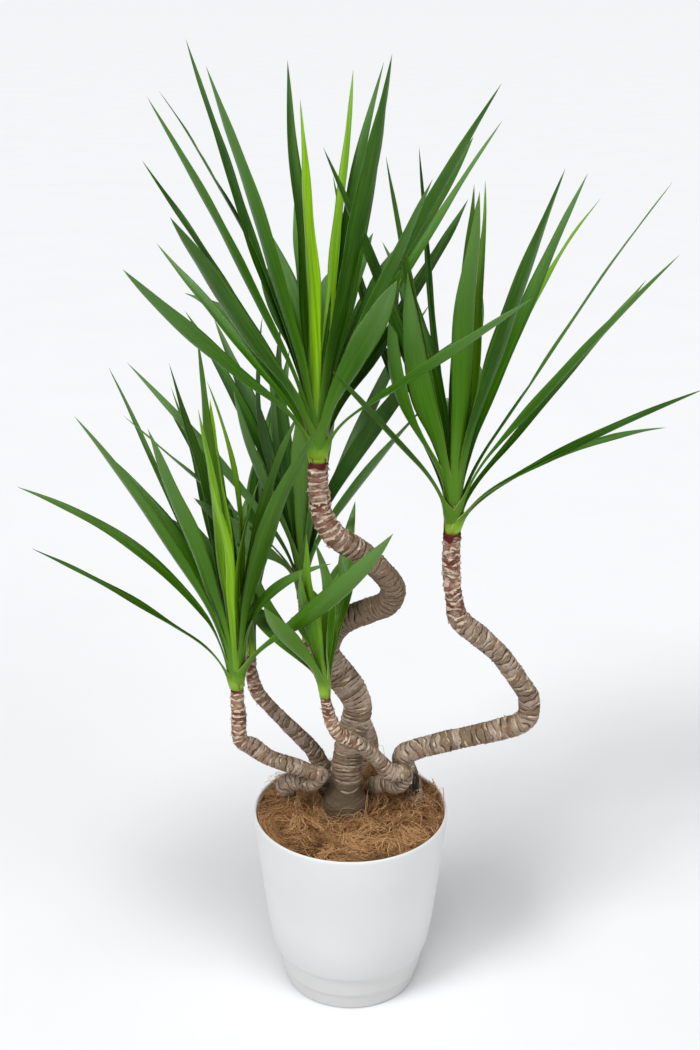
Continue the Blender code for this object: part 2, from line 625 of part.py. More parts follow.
def make_blade(foot, row, core_radius, low, high):
    """One channelled sword leaf, rooted in the crown's core, split alike on both faces."""
    heading, lean, length, width, arch, sway, twist = row
    heading = math.radians(heading)
    tilt = math.radians(lean)
    out = Vector((math.cos(heading), math.sin(heading), 0.0))
    along = math.sin(tilt) * out + math.cos(tilt) * Vector((0.0, 0.0, 1.0))
    side = Vector((-math.sin(heading), math.cos(heading), 0.0))
    face = along.cross(side)
    lowness = min(lean / LOW_LEAN, 1.0)
    height = low + (high - low) * (1.0 - lowness)
    root = foot + out * core_radius * ROOT_INSET + Vector((0.0, 0.0, height))
    widest = WIDEST_UPRIGHT + (WIDEST_LOW - WIDEST_UPRIGHT) * lowness
    neck = min(NECK_UPRIGHT + (NECK_LOW - NECK_UPRIGHT) * lowness, NECK_TO_CORE * core_radius / width)
    corners = []
    for share in STATIONS:
        bow = face * arch + side * sway
        middle = root + along * length * share + bow * 4.0 * share * (1.0 - share)
        course = (along * length + bow * 4.0 * (1.0 - 2.0 * share)).normalized()
        up = (face - course * face.dot(course)).normalized()
        across = course.cross(up)
        turn = min(share / TWIST_PART, 1.0)
        angle = math.radians(twist) * turn * turn * (3.0 - 2.0 * turn)
        edge = math.cos(angle) * across - math.sin(angle) * up
        normal = math.cos(angle) * up + math.sin(angle) * across
        half = width * blade_spread(share, neck, widest) / 2.0
        root_part = max(0.0, 1.0 - share / ROOT_THICK_PART)
        thickness = BLADE_THICKNESS + (ROOT_THICKNESS - BLADE_THICKNESS) * root_part
        rise = normal * half * CHANNEL_RISE
        corners += [middle - edge * half + rise, middle, middle + edge * half + rise]
        corners.append(middle - normal * thickness)
    corners.append(root + along * length)
    faces = [(0, 3, 1), (1, 3, 2)]
    for i in range(len(STATIONS) - 1):
        a = 4 * i
        b = a + 4
        faces += [(a, a + 1, b + 1), (a, b + 1, b)]
        faces += [(a + 1, a + 2, b + 2), (a + 1, b + 2, b + 1)]
        faces += [(a, b + 3, a + 3), (a, b, b + 3)]
        faces += [(a + 3, b + 2, a + 2), (a + 3, b + 3, b + 2)]
    a = 4 * (len(STATIONS) - 1)
    tip = a + 4
    faces += [(a, a + 1, tip), (a + 1, a + 2, tip), (a, tip, a + 3), (a + 3, tip, a + 2)]
    return solid("blade", corners, faces)


def make_crown(name, foot, leaves, core_radius, low, high):
    """A crown of leaves, fused to the leafy core that sits on the cane's top."""
    outline = [(foot.z + high * up, core_radius * wide) for up, wide in CORE_SHAPE]
    material = surface(name + "_green", LEAF_GREEN, 0.4)
    crown = turned(name, outline, CORE_SIDES, material, centre=(foot.x, foot.y))
    blades = [make_blade(foot, row, core_radius, low, high) for row in leaves]
    combine(crown, blades, "UNION", "MANIFOLD")
    keep_main_body(crown)
    crown.data.shade_smooth()
    crown.data.set_sharp_from_angle(angle=math.radians(LEAF_CREASE))
    return crown


def build():
    """Make every piece of the plant."""
    clear_scene()
    make_planter()
    make_soil()
    make_coir()
    for name, route, sides, leaves, core_radius, low, high in HEADS:
        make_cane("cane_" + name, route, sides)
        make_crown("crown_" + name, Vector(route[-1][:3]), leaves, core_radius, low, high)


build()
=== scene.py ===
"""Looks of a potted yucca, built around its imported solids.

Metres, +Z up, the front of the plant faces -Y. Every piece keeps the place and the form of the solid
that it stands for: the canes and leaves follow the same routes and rows with finer meshes.
"""

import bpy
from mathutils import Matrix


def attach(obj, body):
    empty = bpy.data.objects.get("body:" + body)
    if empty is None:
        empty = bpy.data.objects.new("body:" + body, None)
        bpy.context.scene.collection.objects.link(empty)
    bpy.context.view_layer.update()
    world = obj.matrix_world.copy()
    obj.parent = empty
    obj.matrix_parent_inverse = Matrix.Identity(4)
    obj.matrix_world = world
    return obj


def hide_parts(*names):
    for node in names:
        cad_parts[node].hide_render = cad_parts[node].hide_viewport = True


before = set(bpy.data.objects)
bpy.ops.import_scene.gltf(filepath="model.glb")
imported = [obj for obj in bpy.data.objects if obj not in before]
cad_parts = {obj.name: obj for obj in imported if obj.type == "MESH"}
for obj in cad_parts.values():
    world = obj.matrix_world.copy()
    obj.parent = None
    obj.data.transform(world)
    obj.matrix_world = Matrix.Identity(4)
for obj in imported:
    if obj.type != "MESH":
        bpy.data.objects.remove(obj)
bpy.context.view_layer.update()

import functools
import math

import bpy
import numpy as np
from mathutils import Vector, noise

# Camera fitted to the photograph
CAMERA_PLACE = (-0.0009, -1.983, 1.551)
CAMERA_TILT = 90 - 21.21
CAMERA_LENS = 50
CAMERA_SENSOR = 36
CAMERA_REACH = 500


def linear(red, green, blue):
    """A shader colour from display values of 0 to 255."""
    result = []
    for value in (red, green, blue):
        share = value / 255
        result.append(share / 12.92 if share <= 0.04045 else ((share + 0.055) / 1.055) ** 2.4)
    return (*result, 1)


# The canes' routes and the leaves below are those of the plant's solids, fitted to its outline in the
# photograph. A route runs from the soil to the crown, as x, y, height and radius
MAIN_CANE = [
    (-0.009, 0.003, 0.306, 0.035), (-0.009, 0.003, 0.32, 0.0335),
    (-0.009, 0.003, 0.332, 0.0285), (-0.008, 0.003, 0.345, 0.0254),
    (-0.004, 0.005, 0.392, 0.023), (0.004, 0.008, 0.436, 0.0221),
    (0.01, 0.012, 0.483, 0.0223), (-0.008, 0.018, 0.518, 0.023),
    (-0.033, 0.024, 0.554, 0.0207), (-0.034, 0.028, 0.581, 0.0198),
    (-0.013, 0.026, 0.614, 0.0197), (0.026, 0.018, 0.636, 0.0188),
    (0.054, 0.008, 0.653, 0.0194), (0.063, -0.002, 0.68, 0.0193),
    (0.048, -0.014, 0.711, 0.0176), (0.016, -0.028, 0.749, 0.0174),
    (-0.018, -0.038, 0.776, 0.0172), (-0.038, -0.04, 0.805, 0.0157),
    (-0.045, -0.04, 0.843, 0.0142), (-0.046, -0.04, 0.892, 0.0141),
]
RIGHT_CANE = [
    (0.104, 0.014, 0.306, 0.0148), (0.099, 0.014, 0.325, 0.0142),
    (0.093, 0.012, 0.361, 0.0126), (0.082, 0.008, 0.39, 0.0172),
    (0.103, 0.002, 0.408, 0.0163), (0.143, -0.002, 0.422, 0.0162),
    (0.192, -0.004, 0.436, 0.0162), (0.23, -0.006, 0.447, 0.0169),
    (0.267, -0.008, 0.464, 0.0161), (0.272, -0.01, 0.498, 0.0167),
    (0.259, -0.014, 0.527, 0.0151), (0.225, -0.018, 0.578, 0.015),
    (0.191, -0.022, 0.613, 0.0163), (0.16, -0.026, 0.643, 0.0155),
    (0.151, -0.03, 0.683, 0.0124), (0.146, -0.03, 0.726, 0.0124),
    (0.146, -0.03, 0.781, 0.013),
]
LEFT_CANE = [
    (-0.097, 0.02, 0.306, 0.0118), (-0.102, 0.012, 0.337, 0.015),
    (-0.078, 0, 0.352, 0.0133), (-0.06, -0.012, 0.355, 0.0117),
    (-0.046, -0.022, 0.376, 0.0116), (-0.059, -0.026, 0.383, 0.0116),
    (-0.089, -0.024, 0.394, 0.0131), (-0.124, -0.022, 0.406, 0.0123),
    (-0.15, -0.02, 0.424, 0.0138), (-0.169, -0.02, 0.438, 0.0115),
    (-0.17, -0.02, 0.478, 0.0114), (-0.172, -0.02, 0.505, 0.0098),
    (-0.171, -0.02, 0.525, 0.0098),
]
BACK_LEFT_CANE = [
    (-0.038, 0.045, 0.306, 0.0128), (-0.043, 0.045, 0.319, 0.0128),
    (-0.041, 0.046, 0.339, 0.0144), (-0.06, 0.048, 0.379, 0.0127),
    (-0.086, 0.05, 0.409, 0.0119), (-0.116, 0.05, 0.443, 0.011),
    (-0.139, 0.05, 0.471, 0.011), (-0.148, 0.05, 0.487, 0.0109),
    (-0.155, 0.05, 0.522, 0.0086), (-0.154, 0.05, 0.546, 0.0077),
]
FRONT_CANE = [
    (0.036, 0.038, 0.306, 0.012), (0.037, 0.028, 0.326, 0.0127),
    (0.056, 0.012, 0.339, 0.0142), (0.077, -0.01, 0.352, 0.0132),
    (0.084, -0.018, 0.377, 0.0124), (0.061, -0.024, 0.382, 0.0139),
    (0.039, -0.034, 0.413, 0.0115), (0.011, -0.046, 0.446, 0.0106),
    (-0.019, -0.054, 0.467, 0.0105), (-0.032, -0.055, 0.498, 0.009),
    (-0.038, -0.055, 0.529, 0.0074),
]
BACK_CANE = [
    (0.019, 0.076, 0.306, 0.016), (0.028, 0.08, 0.322, 0.017),
    (0.03, 0.086, 0.354, 0.0154), (0.03, 0.092, 0.38, 0.0129),
    (0.01, 0.094, 0.424, 0.0137), (-0.017, 0.092, 0.467, 0.0112),
    (-0.048, 0.09, 0.503, 0.0095), (-0.065, 0.088, 0.545, 0.0087),
    (-0.07, 0.086, 0.584, 0.0086), (-0.075, 0.085, 0.624, 0.007),
]

# Leaves of each crown, from the upright middle to the low outside. Each row holds the compass
# heading (0 is +X, 90 is the back), the lean from upright and the twist in degrees, with the length,
# the width, the rise of the arch and the sideways bend in metres:
# heading, lean, length, width, arch, sway, twist
MAIN_LEAVES = [
    (244, 5, 0.3975, 0.036, 0.005, -0.0025, -35),
    (109.5, 14, 0.4575, 0.03, 0.0075, 0.0075, 30),
    (313.5, 16, 0.485, 0.034, 0.0075, 0.015, -5),
    (220, 19.5, 0.485, 0.033, 0.0075, -0.0075, 5),
    (54.5, 20.5, 0.4875, 0.034, 0, -0.0025, 80),
    (143.5, 24, 0.5275, 0.022, 0.0025, 0.0125, 0),
    (78.5, 29, 0.5025, 0.025, 0.0125, -0.0075, -40),
    (334, 29, 0.5125, 0.022, 0.01, 0.01, -40),
    (222, 30, 0.5075, 0.019, 0.02, -0.0275, 15),
    (70.5, 31.5, 0.53, 0.026, 0.0225, 0, -25),
    (20.5, 34, 0.47, 0.022, 0.0075, -0.005, 10),
    (140.5, 34, 0.5075, 0.02, 0.045, 0.0175, 35),
    (302, 36, 0.4425, 0.019, 0.0225, 0.0225, -10),
    (233.5, 40.5, 0.42, 0.033, 0.0075, -0.0175, 20),
    (48.5, 43, 0.4925, 0.039, 0.0125, -0.01, 5),
    (112, 43, 0.34, 0.036, 0.0275, 0, 0),
    (291, 46.5, 0.375, 0.038, 0.0175, 0.015, -20),
    (72, 48, 0.34, 0.036, 0.03, 0, 0),
    (223.5, 49, 0.405, 0.025, -0.0025, -0.025, 45),
    (131.5, 50.5, 0.5175, 0.021, 0.01, 0.0075, 15),
    (51, 51.5, 0.445, 0.032, -0.0075, -0.0075, -10),
    (96, 53, 0.46, 0.036, 0.0325, 0, 0),
    (140, 53.5, 0.38, 0.019, 0.005, 0.01, -15),
    (329.5, 54, 0.3825, 0.019, -0.0025, 0.01, -45),
    (64, 58, 0.46, 0.036, 0.035, 0, 0),
    (72, 68, 0.46, 0.036, 0.04, 0, 0),
    (88, 68, 0.43, 0.036, 0.04, 0, 0),
    (104, 68, 0.46, 0.036, 0.04, 0, 0),
    (120, 73, 0.46, 0.036, 0.04, 0, 0),
    (88, 83, 0.46, 0.036, 0.04, 0, 0),
]
RIGHT_LEAVES = [
    (70, 8.5, 0.395, 0.037, -0.0025, -0.0025, -45),
    (279, 13, 0.42, 0.036, 0.01, 0.0025, 15),
    (206, 13.5, 0.46, 0.027, -0.0025, -0.01, 5),
    (206.5, 14, 0.305, 0.038, -0.015, -0.005, 50),
    (184.5, 14.5, 0.2925, 0.034, -0.0425, -0.005, 35),
    (71.5, 18, 0.4175, 0.019, 0.01, -0.015, -25),
    (320, 19, 0.47, 0.034, 0.0075, 0.0075, -10),
    (185, 21, 0.495, 0.03, 0.005, 0.0025, 40),
    (136, 23, 0.35, 0.034, 0.02, 0, 0),
    (28, 25.5, 0.465, 0.037, 0.0075, -0.005, -5),
    (101, 28, 0.5, 0.019, 0.015, 0.01, 45),
    (80, 33, 0.44, 0.034, 0.025, 0, 0),
    (339, 38.5, 0.46, 0.017, 0.005, 0.0025, -50),
    (31.5, 42, 0.555, 0.017, 0.025, -0.0225, -45),
    (117.5, 42.5, 0.5475, 0.017, 0.01, 0.03, -5),
    (80, 43, 0.44, 0.034, 0.0275, 0, 0),
    (226, 45.5, 0.335, 0.018, 0.0075, -0.02, 10),
    (104, 48, 0.44, 0.034, 0.03, 0, 0),
    (55.5, 49, 0.5675, 0.022, 0.0275, 0.0125, -35),
    (39.5, 55, 0.475, 0.026, 0.0075, -0.0125, -10),
    (80, 58, 0.44, 0.034, 0.035, 0, 0),
    (341, 58, 0.3875, 0.023, 0, 0.025, 20),
    (96, 68, 0.44, 0.034, 0.04, 0, 0),
    (80, 73, 0.41, 0.034, 0.04, 0, 0),
    (20, 73.5, 0.3525, 0.02, 0.025, 0.0025, 5),
    (88, 83, 0.44, 0.034, 0.04, 0, 0),
]
LEFT_LEAVES = [
    (188.5, 3.5, 0.4, 0.021, 0.0275, -0.005, -25),
    (244.5, 6.5, 0.39, 0.03, 0.015, -0.0125, -15),
    (0, 8, 0.26, 0.03, 0.0125, 0, 0),
    (247, 9, 0.4925, 0.02, 0.0075, -0.005, 5),
    (120, 13, 0.38, 0.03, 0.015, 0, 0),
    (251, 13.5, 0.405, 0.017, 0.0175, -0.0075, -5),
    (32, 18, 0.38, 0.03, 0.0175, 0, 0),
    (261.5, 21, 0.35, 0.018, 0.0125, 0.0025, -20),
    (329, 21.5, 0.4, 0.033, 0.0175, -0.0025, -30),
    (233, 22, 0.415, 0.029, 0.01, -0.0125, 20),
    (121, 26, 0.4425, 0.03, 0.015, 0, 40),
    (221.5, 30, 0.485, 0.025, 0.0175, -0.0225, 20),
    (115.5, 35, 0.43, 0.017, 0.0125, -0.005, 30),
    (134, 36, 0.4825, 0.019, 0.0125, 0.0025, 20),
    (347.5, 40.5, 0.22, 0.027, 0.0325, -0.0025, 25),
    (88, 43, 0.26, 0.03, 0.0275, 0, 0),
    (139, 44, 0.36, 0.033, 0.025, 0.0025, 0),
    (195, 44, 0.4225, 0.021, 0.04, 0.0125, -40),
    (320, 46, 0.405, 0.032, -0.01, 0.02, -60),
    (201, 51, 0.365, 0.017, 0.005, -0.0075, -15),
    (96, 73, 0.38, 0.03, 0.04, 0, 0),
    (96, 83, 0.38, 0.03, 0.04, 0, 0),
]
BACK_LEFT_LEAVES = [
    (159.5, 28.5, 0.195, 0.036, 0.0025, 0.0025, -65),
    (125, 37, 0.365, 0.03, 0.025, -0.0125, 5),
    (82, 38, 0.405, 0.032, 0.015, 0.0075, 0),
    (80, 39.5, 0.48, 0.033, 0.015, 0, 25),
    (87, 42, 0.345, 0.028, 0.03, 0.005, -45),
    (152, 43, 0.24, 0.028, 0.0275, 0, 0),
    (112, 48, 0.36, 0.028, 0.03, 0, 0),
    (104, 58, 0.3, 0.028, 0.035, 0, 0),
    (88, 63, 0.36, 0.028, 0.0375, 0, 0),
    (96, 78, 0.36, 0.028, 0.04, 0, 0),
]
FRONT_LEAVES = [
    (32, 8, 0.15, 0.034, 0.0125, 0, 0),
    (235, 9.5, 0.23, 0.022, -0.0025, -0.0075, 0),
    (222, 14, 0.175, 0.023, -0.0025, -0.0075, 20),
    (103, 18.5, 0.19, 0.021, 0.0075, -0.0125, 0),
    (72.5, 33.5, 0.265, 0.034, -0.0025, -0.0025, -10),
    (228.5, 38, 0.195, 0.033, 0, -0.0125, 25),
    (141.5, 42.5, 0.255, 0.031, -0.0075, 0.015, 15),
    (104, 48, 0.15, 0.034, 0.03, 0, 0),
    (80, 53, 0.21, 0.034, 0.0325, 0, 0),
    (150.5, 54.5, 0.1725, 0.037, 0.0025, 0.005, -20),
    (112, 73, 0.15, 0.034, 0.04, 0, 0),
]
BACK_LEAVES = [
    (271, 5, 0.255, 0.032, 0.005, 0, -20),
    (332.5, 12, 0.27, 0.032, -0.005, 0.005, -15),
    (201.5, 20, 0.285, 0.033, -0.01, -0.0125, 15),
    (105, 20.5, 0.35, 0.024, 0.0275, 0.02, 20),
    (115.5, 21.5, 0.3675, 0.017, -0.005, 0.03, 30),
    (144.5, 31, 0.42, 0.029, 0.02, -0.0025, 0),
    (333.5, 35.5, 0.3425, 0.03, 0.005, -0.005, -15),
    (23, 37.5, 0.4125, 0.03, 0.0325, 0.0025, 35),
    (44.5, 37.5, 0.4575, 0.03, 0.0125, 0.005, -5),
    (88, 38, 0.38, 0.032, 0.0275, 0, 0),
    (121.5, 39.5, 0.4275, 0.036, 0.03, 0.01, 15),
    (168, 40.5, 0.405, 0.016, 0.0075, -0.0025, -75),
    (104, 43, 0.38, 0.032, 0.0275, 0, 0),
    (178.5, 46.5, 0.3575, 0.019, 0, -0.0025, 15),
    (207, 48.5, 0.225, 0.034, -0.0075, -0.0075, -55),
    (80, 53, 0.38, 0.032, 0.0325, 0, 0),
    (104, 63, 0.35, 0.032, 0.0375, 0, 0),
    (88, 68, 0.38, 0.032, 0.04, 0, 0),
    (88, 83, 0.38, 0.032, 0.04, 0, 0),
]

# Planter, as height and radius: outside from the base to the lip, then inside from the floor to the lip
POT_OUTSIDE = [
    (0, 0.103), (0.0022, 0.1058), (0.008, 0.107), (0.022, 0.1095), (0.0262, 0.1108), (0.03, 0.1135),
    (0.037, 0.1148), (0.05, 0.116), (0.0585, 0.1177), (0.0635, 0.1203), (0.068, 0.1235), (0.078, 0.1262),
    (0.1, 0.13), (0.13, 0.1343), (0.17, 0.139), (0.21, 0.1436), (0.255, 0.1485), (0.2985, 0.1522),
]
POT_INSIDE = [
    (0.012, 0.098), (0.06, 0.112), (0.1, 0.1255), (0.17, 0.1345), (0.255, 0.144), (0.2985, 0.1478),
]
LIP_HEIGHT = 0.3005
LIP_RISE = 0.0035
LIP_MIDDLE = 0.1501
LIP_HALF = 0.0022
LIP_STEPS = 8
POT_SIDES = 144
POT_CREASE = 50

# Body of the coir
COIR_BOTTOM = 0.2683
COIR_RADIUS = 0.1474
COIR_EDGE = 0.2975
COIR_MIDDLE = 0.279
COIR_HEAP = 0.0015
COIR_SIDES = 96
COIR_BANDS = 28

# Mounds of the coir, as x, y, width and height
COIR_MOUNDS = [
    (0.034, 0.066, 0.019, 0.04), (0.04, 0.1, 0.024, 0.026), (0.02, -0.118, 0.042, 0.007),
    (-0.07, -0.095, 0.04, 0.007), (0.09, -0.08, 0.04, 0.008), (-0.115, -0.02, 0.03, 0.006),
    (0.128, 0.01, 0.024, 0.006),
]

# Loose fibres of the coir: name, number of locks and of fibres in a lock, then the spans of their lengths
# and radii, how high they rise, the span of their tints, their seed and if they curl round the canes
# The low locks take darker tints and the raised ones paler: partly the fibres' own browns, partly painted
# shade deep in the mat and painted light on top
FIBRES = [
    ("low", 340, 14, (0.03, 0.075), (0.00028, 0.00062), 0.006, (0, 0.45), 71, False),
    ("top", 260, 18, (0.04, 0.1), (0.0002, 0.00046), 0.02, (0.25, 1), 72, False),
    ("collar", 170, 12, (0.02, 0.055), (0.0002, 0.00044), 0.026, (0.2, 0.9), 73, True),
    ("loops", 150, 4, (0.04, 0.085), (0.00024, 0.00038), 0.042, (0.5, 1), 74, True),
]
LOCK_STEPS = 7
LOCK_SPREAD = 0.0042

# Canes: foot of the peg in the soil, distance between rings of corners, how many tones the bark has, and
# the flakes on it
PEG_FOOT = 0.215
RING_STEP = 0.00125
BARK_SEED = 11
TONES = 512
CHIP_STEPS = 3
CHIPS_PER_METRE = 420

# Dark pruning scar low on the right cane
WOUND_PLACE = (0.101, -0.002, 0.3475)
WOUND_SIZE = (0.01, 0.02, 0.02)

# Darker stretch of the trunk, partly wear and partly painted shade where its bend faces down, measured
# down from its crown, and the pale scar line across its foot
SHADED_WEAR_PLACE = 0.285
SHADED_WEAR_LENGTH = 0.13
TRUNK_SCAR_HEIGHT = 0.3435
TRUNK_SCAR_ENDS = (-0.017, 0.014)
TRUNK_SCAR_SAG = 16
TRUNK_SCAR_WIDTH = 0.001

# Leaves: the solid's own numbers first, then what the finer blades and their sheaths add
POINT_TAPER = 1.8
NECK_TO_CORE = 1.3
TWIST_PART = 0.4
ROOT_INSET = 0.4
LOW_LEAN = 75
WIDEST_UPRIGHT = 0.45
WIDEST_LOW = 0.62
NECK_UPRIGHT = 0.42
NECK_LOW = 0.28
FULLER_NECK = 0.24
JOIN_LENGTH = 0.085
BLADE_RINGS = 22
SHEATH_RINGS = 12
COLUMNS = [-1, -0.82, -0.56, -0.28, 0, 0.28, 0.56, 0.82, 1]
CLASP_LENGTH = 0.06
LOW_CLASP_LENGTH = 0.03
CLASP_ANGLE = 1.65
BLADE_BEND = 0.6
VEE = 0.3
BLADE_THICKNESS = 0.0011
SHEATH_EXTRA = 0.0012
SHEATH_DROP = (0.034, 0.042)
CROWN_SEED = 41
CORE_SIDES = 24
CORE_SHAPE = [(0, 0.82), (0.3, 0.8), (0.8, 0.66), (1.15, 0.25)]

# Every head of the plant: name, cane, sides of the cane, leaves, radius of the leafy core and how far
# above the crown's foot the lowest and the highest leaves root
HEADS = [
    ("main", MAIN_CANE, 72, MAIN_LEAVES, 0.0145, 0.02, 0.105),
    ("right", RIGHT_CANE, 48, RIGHT_LEAVES, 0.013, 0.02, 0.105),
    ("left", LEFT_CANE, 40, LEFT_LEAVES, 0.012, 0.02, 0.085),
    ("back_left", BACK_LEFT_CANE, 36, BACK_LEFT_LEAVES, 0.008, 0.015, 0.06),
    ("front", FRONT_CANE, 36, FRONT_LEAVES, 0.0085, 0.02, 0.05),
    ("back", BACK_CANE, 36, BACK_LEAVES, 0.0085, 0.02, 0.1),
]
CANE_FEET = np.array([head[1][0] for head in HEADS])

# Bark of each cane: pitch of its rings at the foot and at the top, their relief, length of its young
# bark, share of dark cracks, length of its smooth base and length of the maroon band under its crown
SKINS = {
    "main": (0.0058, 0.0092, 0.0019, 0.13, 0.7, 0.045, 0.007),
    "right": (0.0085, 0.0104, 0.0015, 0.13, 0.8, 0.008, 0.006),
    "left": (0.0085, 0.0086, 0.0014, 0.085, 0.95, 0.008, 0),
    "back_left": (0.0085, 0.008, 0.0011, 0.075, 0.75, 0.008, 0),
    "front": (0.008, 0.0074, 0.0012, 0.085, 0.85, 0.008, 0),
    "back": (0.008, 0.008, 0.0011, 0.12, 0.75, 0.008, 0),
}

# Young bright leaves, by crown and by their row in its table, with how bright they are: partly the
# yellow-green of young leaves, partly a painted glow of light shining through them
BRIGHT_LEAVES = {
    ("main", 0): 1, ("main", 6): 0.6, ("left", 0): 0.6, ("left", 1): 1, ("left", 2): 0.3,
    ("left", 5): 0.65, ("left", 7): 0.8, ("right", 5): 0.3, ("right", 18): 0.6, ("front", 0): 0.4,
    ("front", 1): 0.4,
}

# Crowns whose other leaves are a little bright too, crowns that are paler or deeper than the rest, and
# the gloss of the leaves: of most crowns, then of the fresh ones. The back crown's paleness is painted light
# that lifts it out of the shade of the others, with more painted sheen; the right crown is a deeper green
CROWN_FRESHNESS = {"left": 0.06, "front": 0.14}
CROWN_TONE_AND_PAINTED_LIGHT = {"back": 1.1, "right": -0.15}
LEAF_GLOSS = 0.1
FRESH_GLOSS = 0.16

# Colours
LEAF_DEEP = linear(14, 56, 0)
LEAF_MID = linear(50, 104, 0)
LEAF_LIGHT = linear(98, 146, 40)
# Painted sheen of the leaves
LEAF_PAINTED_SHEEN = linear(106, 142, 86)
LEAF_SPRING = linear(150, 204, 16)
LEAF_BASE = linear(92, 134, 38)
LEAF_LIME = linear(146, 186, 48)
LEAF_UNDER = linear(66, 112, 16)
LEAF_EDGE = linear(176, 204, 116)
LEAF_TIP = linear(140, 120, 70)
SHEATH_PAPER = linear(206, 190, 138)
SHEATH_BROWN = linear(150, 112, 70)
YOUNG_MAROON = linear(113, 66, 52)
YOUNG_PINK = linear(156, 118, 98)
YOUNG_CREAM = linear(218, 200, 176)
YOUNG_GROOVE = linear(72, 40, 28)
OLD_TAUPE = linear(128, 108, 86)
OLD_GREY = linear(180, 160, 144)
OLD_RUST = linear(140, 106, 80)
OLD_BROWN = linear(98, 78, 58)
OLD_CREAM = linear(216, 198, 168)
OLD_GROOVE = linear(58, 46, 34)
CRACK_DARK = linear(40, 38, 34)
TRUNK_FOOT = linear(92, 79, 60)
SCAR_PALE = linear(214, 202, 182)
WOUND_DARK = linear(38, 32, 28)
WOUND_GREY = linear(110, 98, 84)
BAND_MAROON = linear(92, 26, 30)
COIR_SHADOW = linear(62, 40, 24)
COIR_DARK = linear(108, 72, 42)
COIR_BROWN = linear(170, 124, 80)
COIR_TAN = linear(228, 182, 128)
SOIL_DARK = linear(40, 30, 22)
SOIL_LIGHT = linear(72, 54, 38)
PLASTIC_WHITE = linear(220, 220, 220)
PLASTIC_SHADE = linear(217, 217, 217)
# Painted shade for the planter's foot
PLASTIC_FOOT_SHADE = linear(198, 197, 196)
FLOOR_LIGHT = linear(234, 235, 237)
FLOOR_SHADE = linear(232, 233, 235)

# Studio: half the floor's width, then each lamp's tilt and turn in degrees, its strength and how wide
# its disc looks
FLOOR_REACH = 160
WORLD_COLOUR = (0.98, 0.99, 1, 1)
WORLD_STRENGTH = 0.31
LAMPS = [
    ("key_light", 46, -50, 1.62, 22),
    ("top_light", 16, 0, 1.28, 26),
    ("fill_light", 58, 48, 0.8, 32),
]


def smooth(share):
    """An S-shaped rise from 0 to 1."""
    share = np.clip(share, 0, 1)
    return share * share * (3 - 2 * share)


def unit(vectors):
    """The vectors at length 1."""
    return vectors / np.maximum(np.linalg.norm(vectors, axis=-1, keepdims=True), 1e-9)


def ripple(draw, angle, along, pitch, turns=3, terms=9):
    """Smooth random waves over a tube's surface, about -1 to 1, that close on themselves round it."""
    total = np.zeros(np.broadcast(angle, along).shape)
    for _ in range(terms):
        around = draw.integers(-turns, turns + 1)
        rate = 2 * math.pi * draw.uniform(0.35, 1) / pitch
        total += np.sin(around * angle + rate * along + draw.uniform(0, 2 * math.pi))
    return total / math.sqrt(terms)


def waver(draw, along, slowest, fastest):
    """A wave of random pace and start along a leaf, from -1 to 1."""
    return np.sin(along * draw.uniform(slowest, fastest) + draw.uniform(0, 6.28))


def layers(shape, *values):
    """Numbers for every corner of a grid, each given as a grid, a row, a column or one number."""
    return np.stack([np.broadcast_to(value, shape) for value in values], axis=-1)


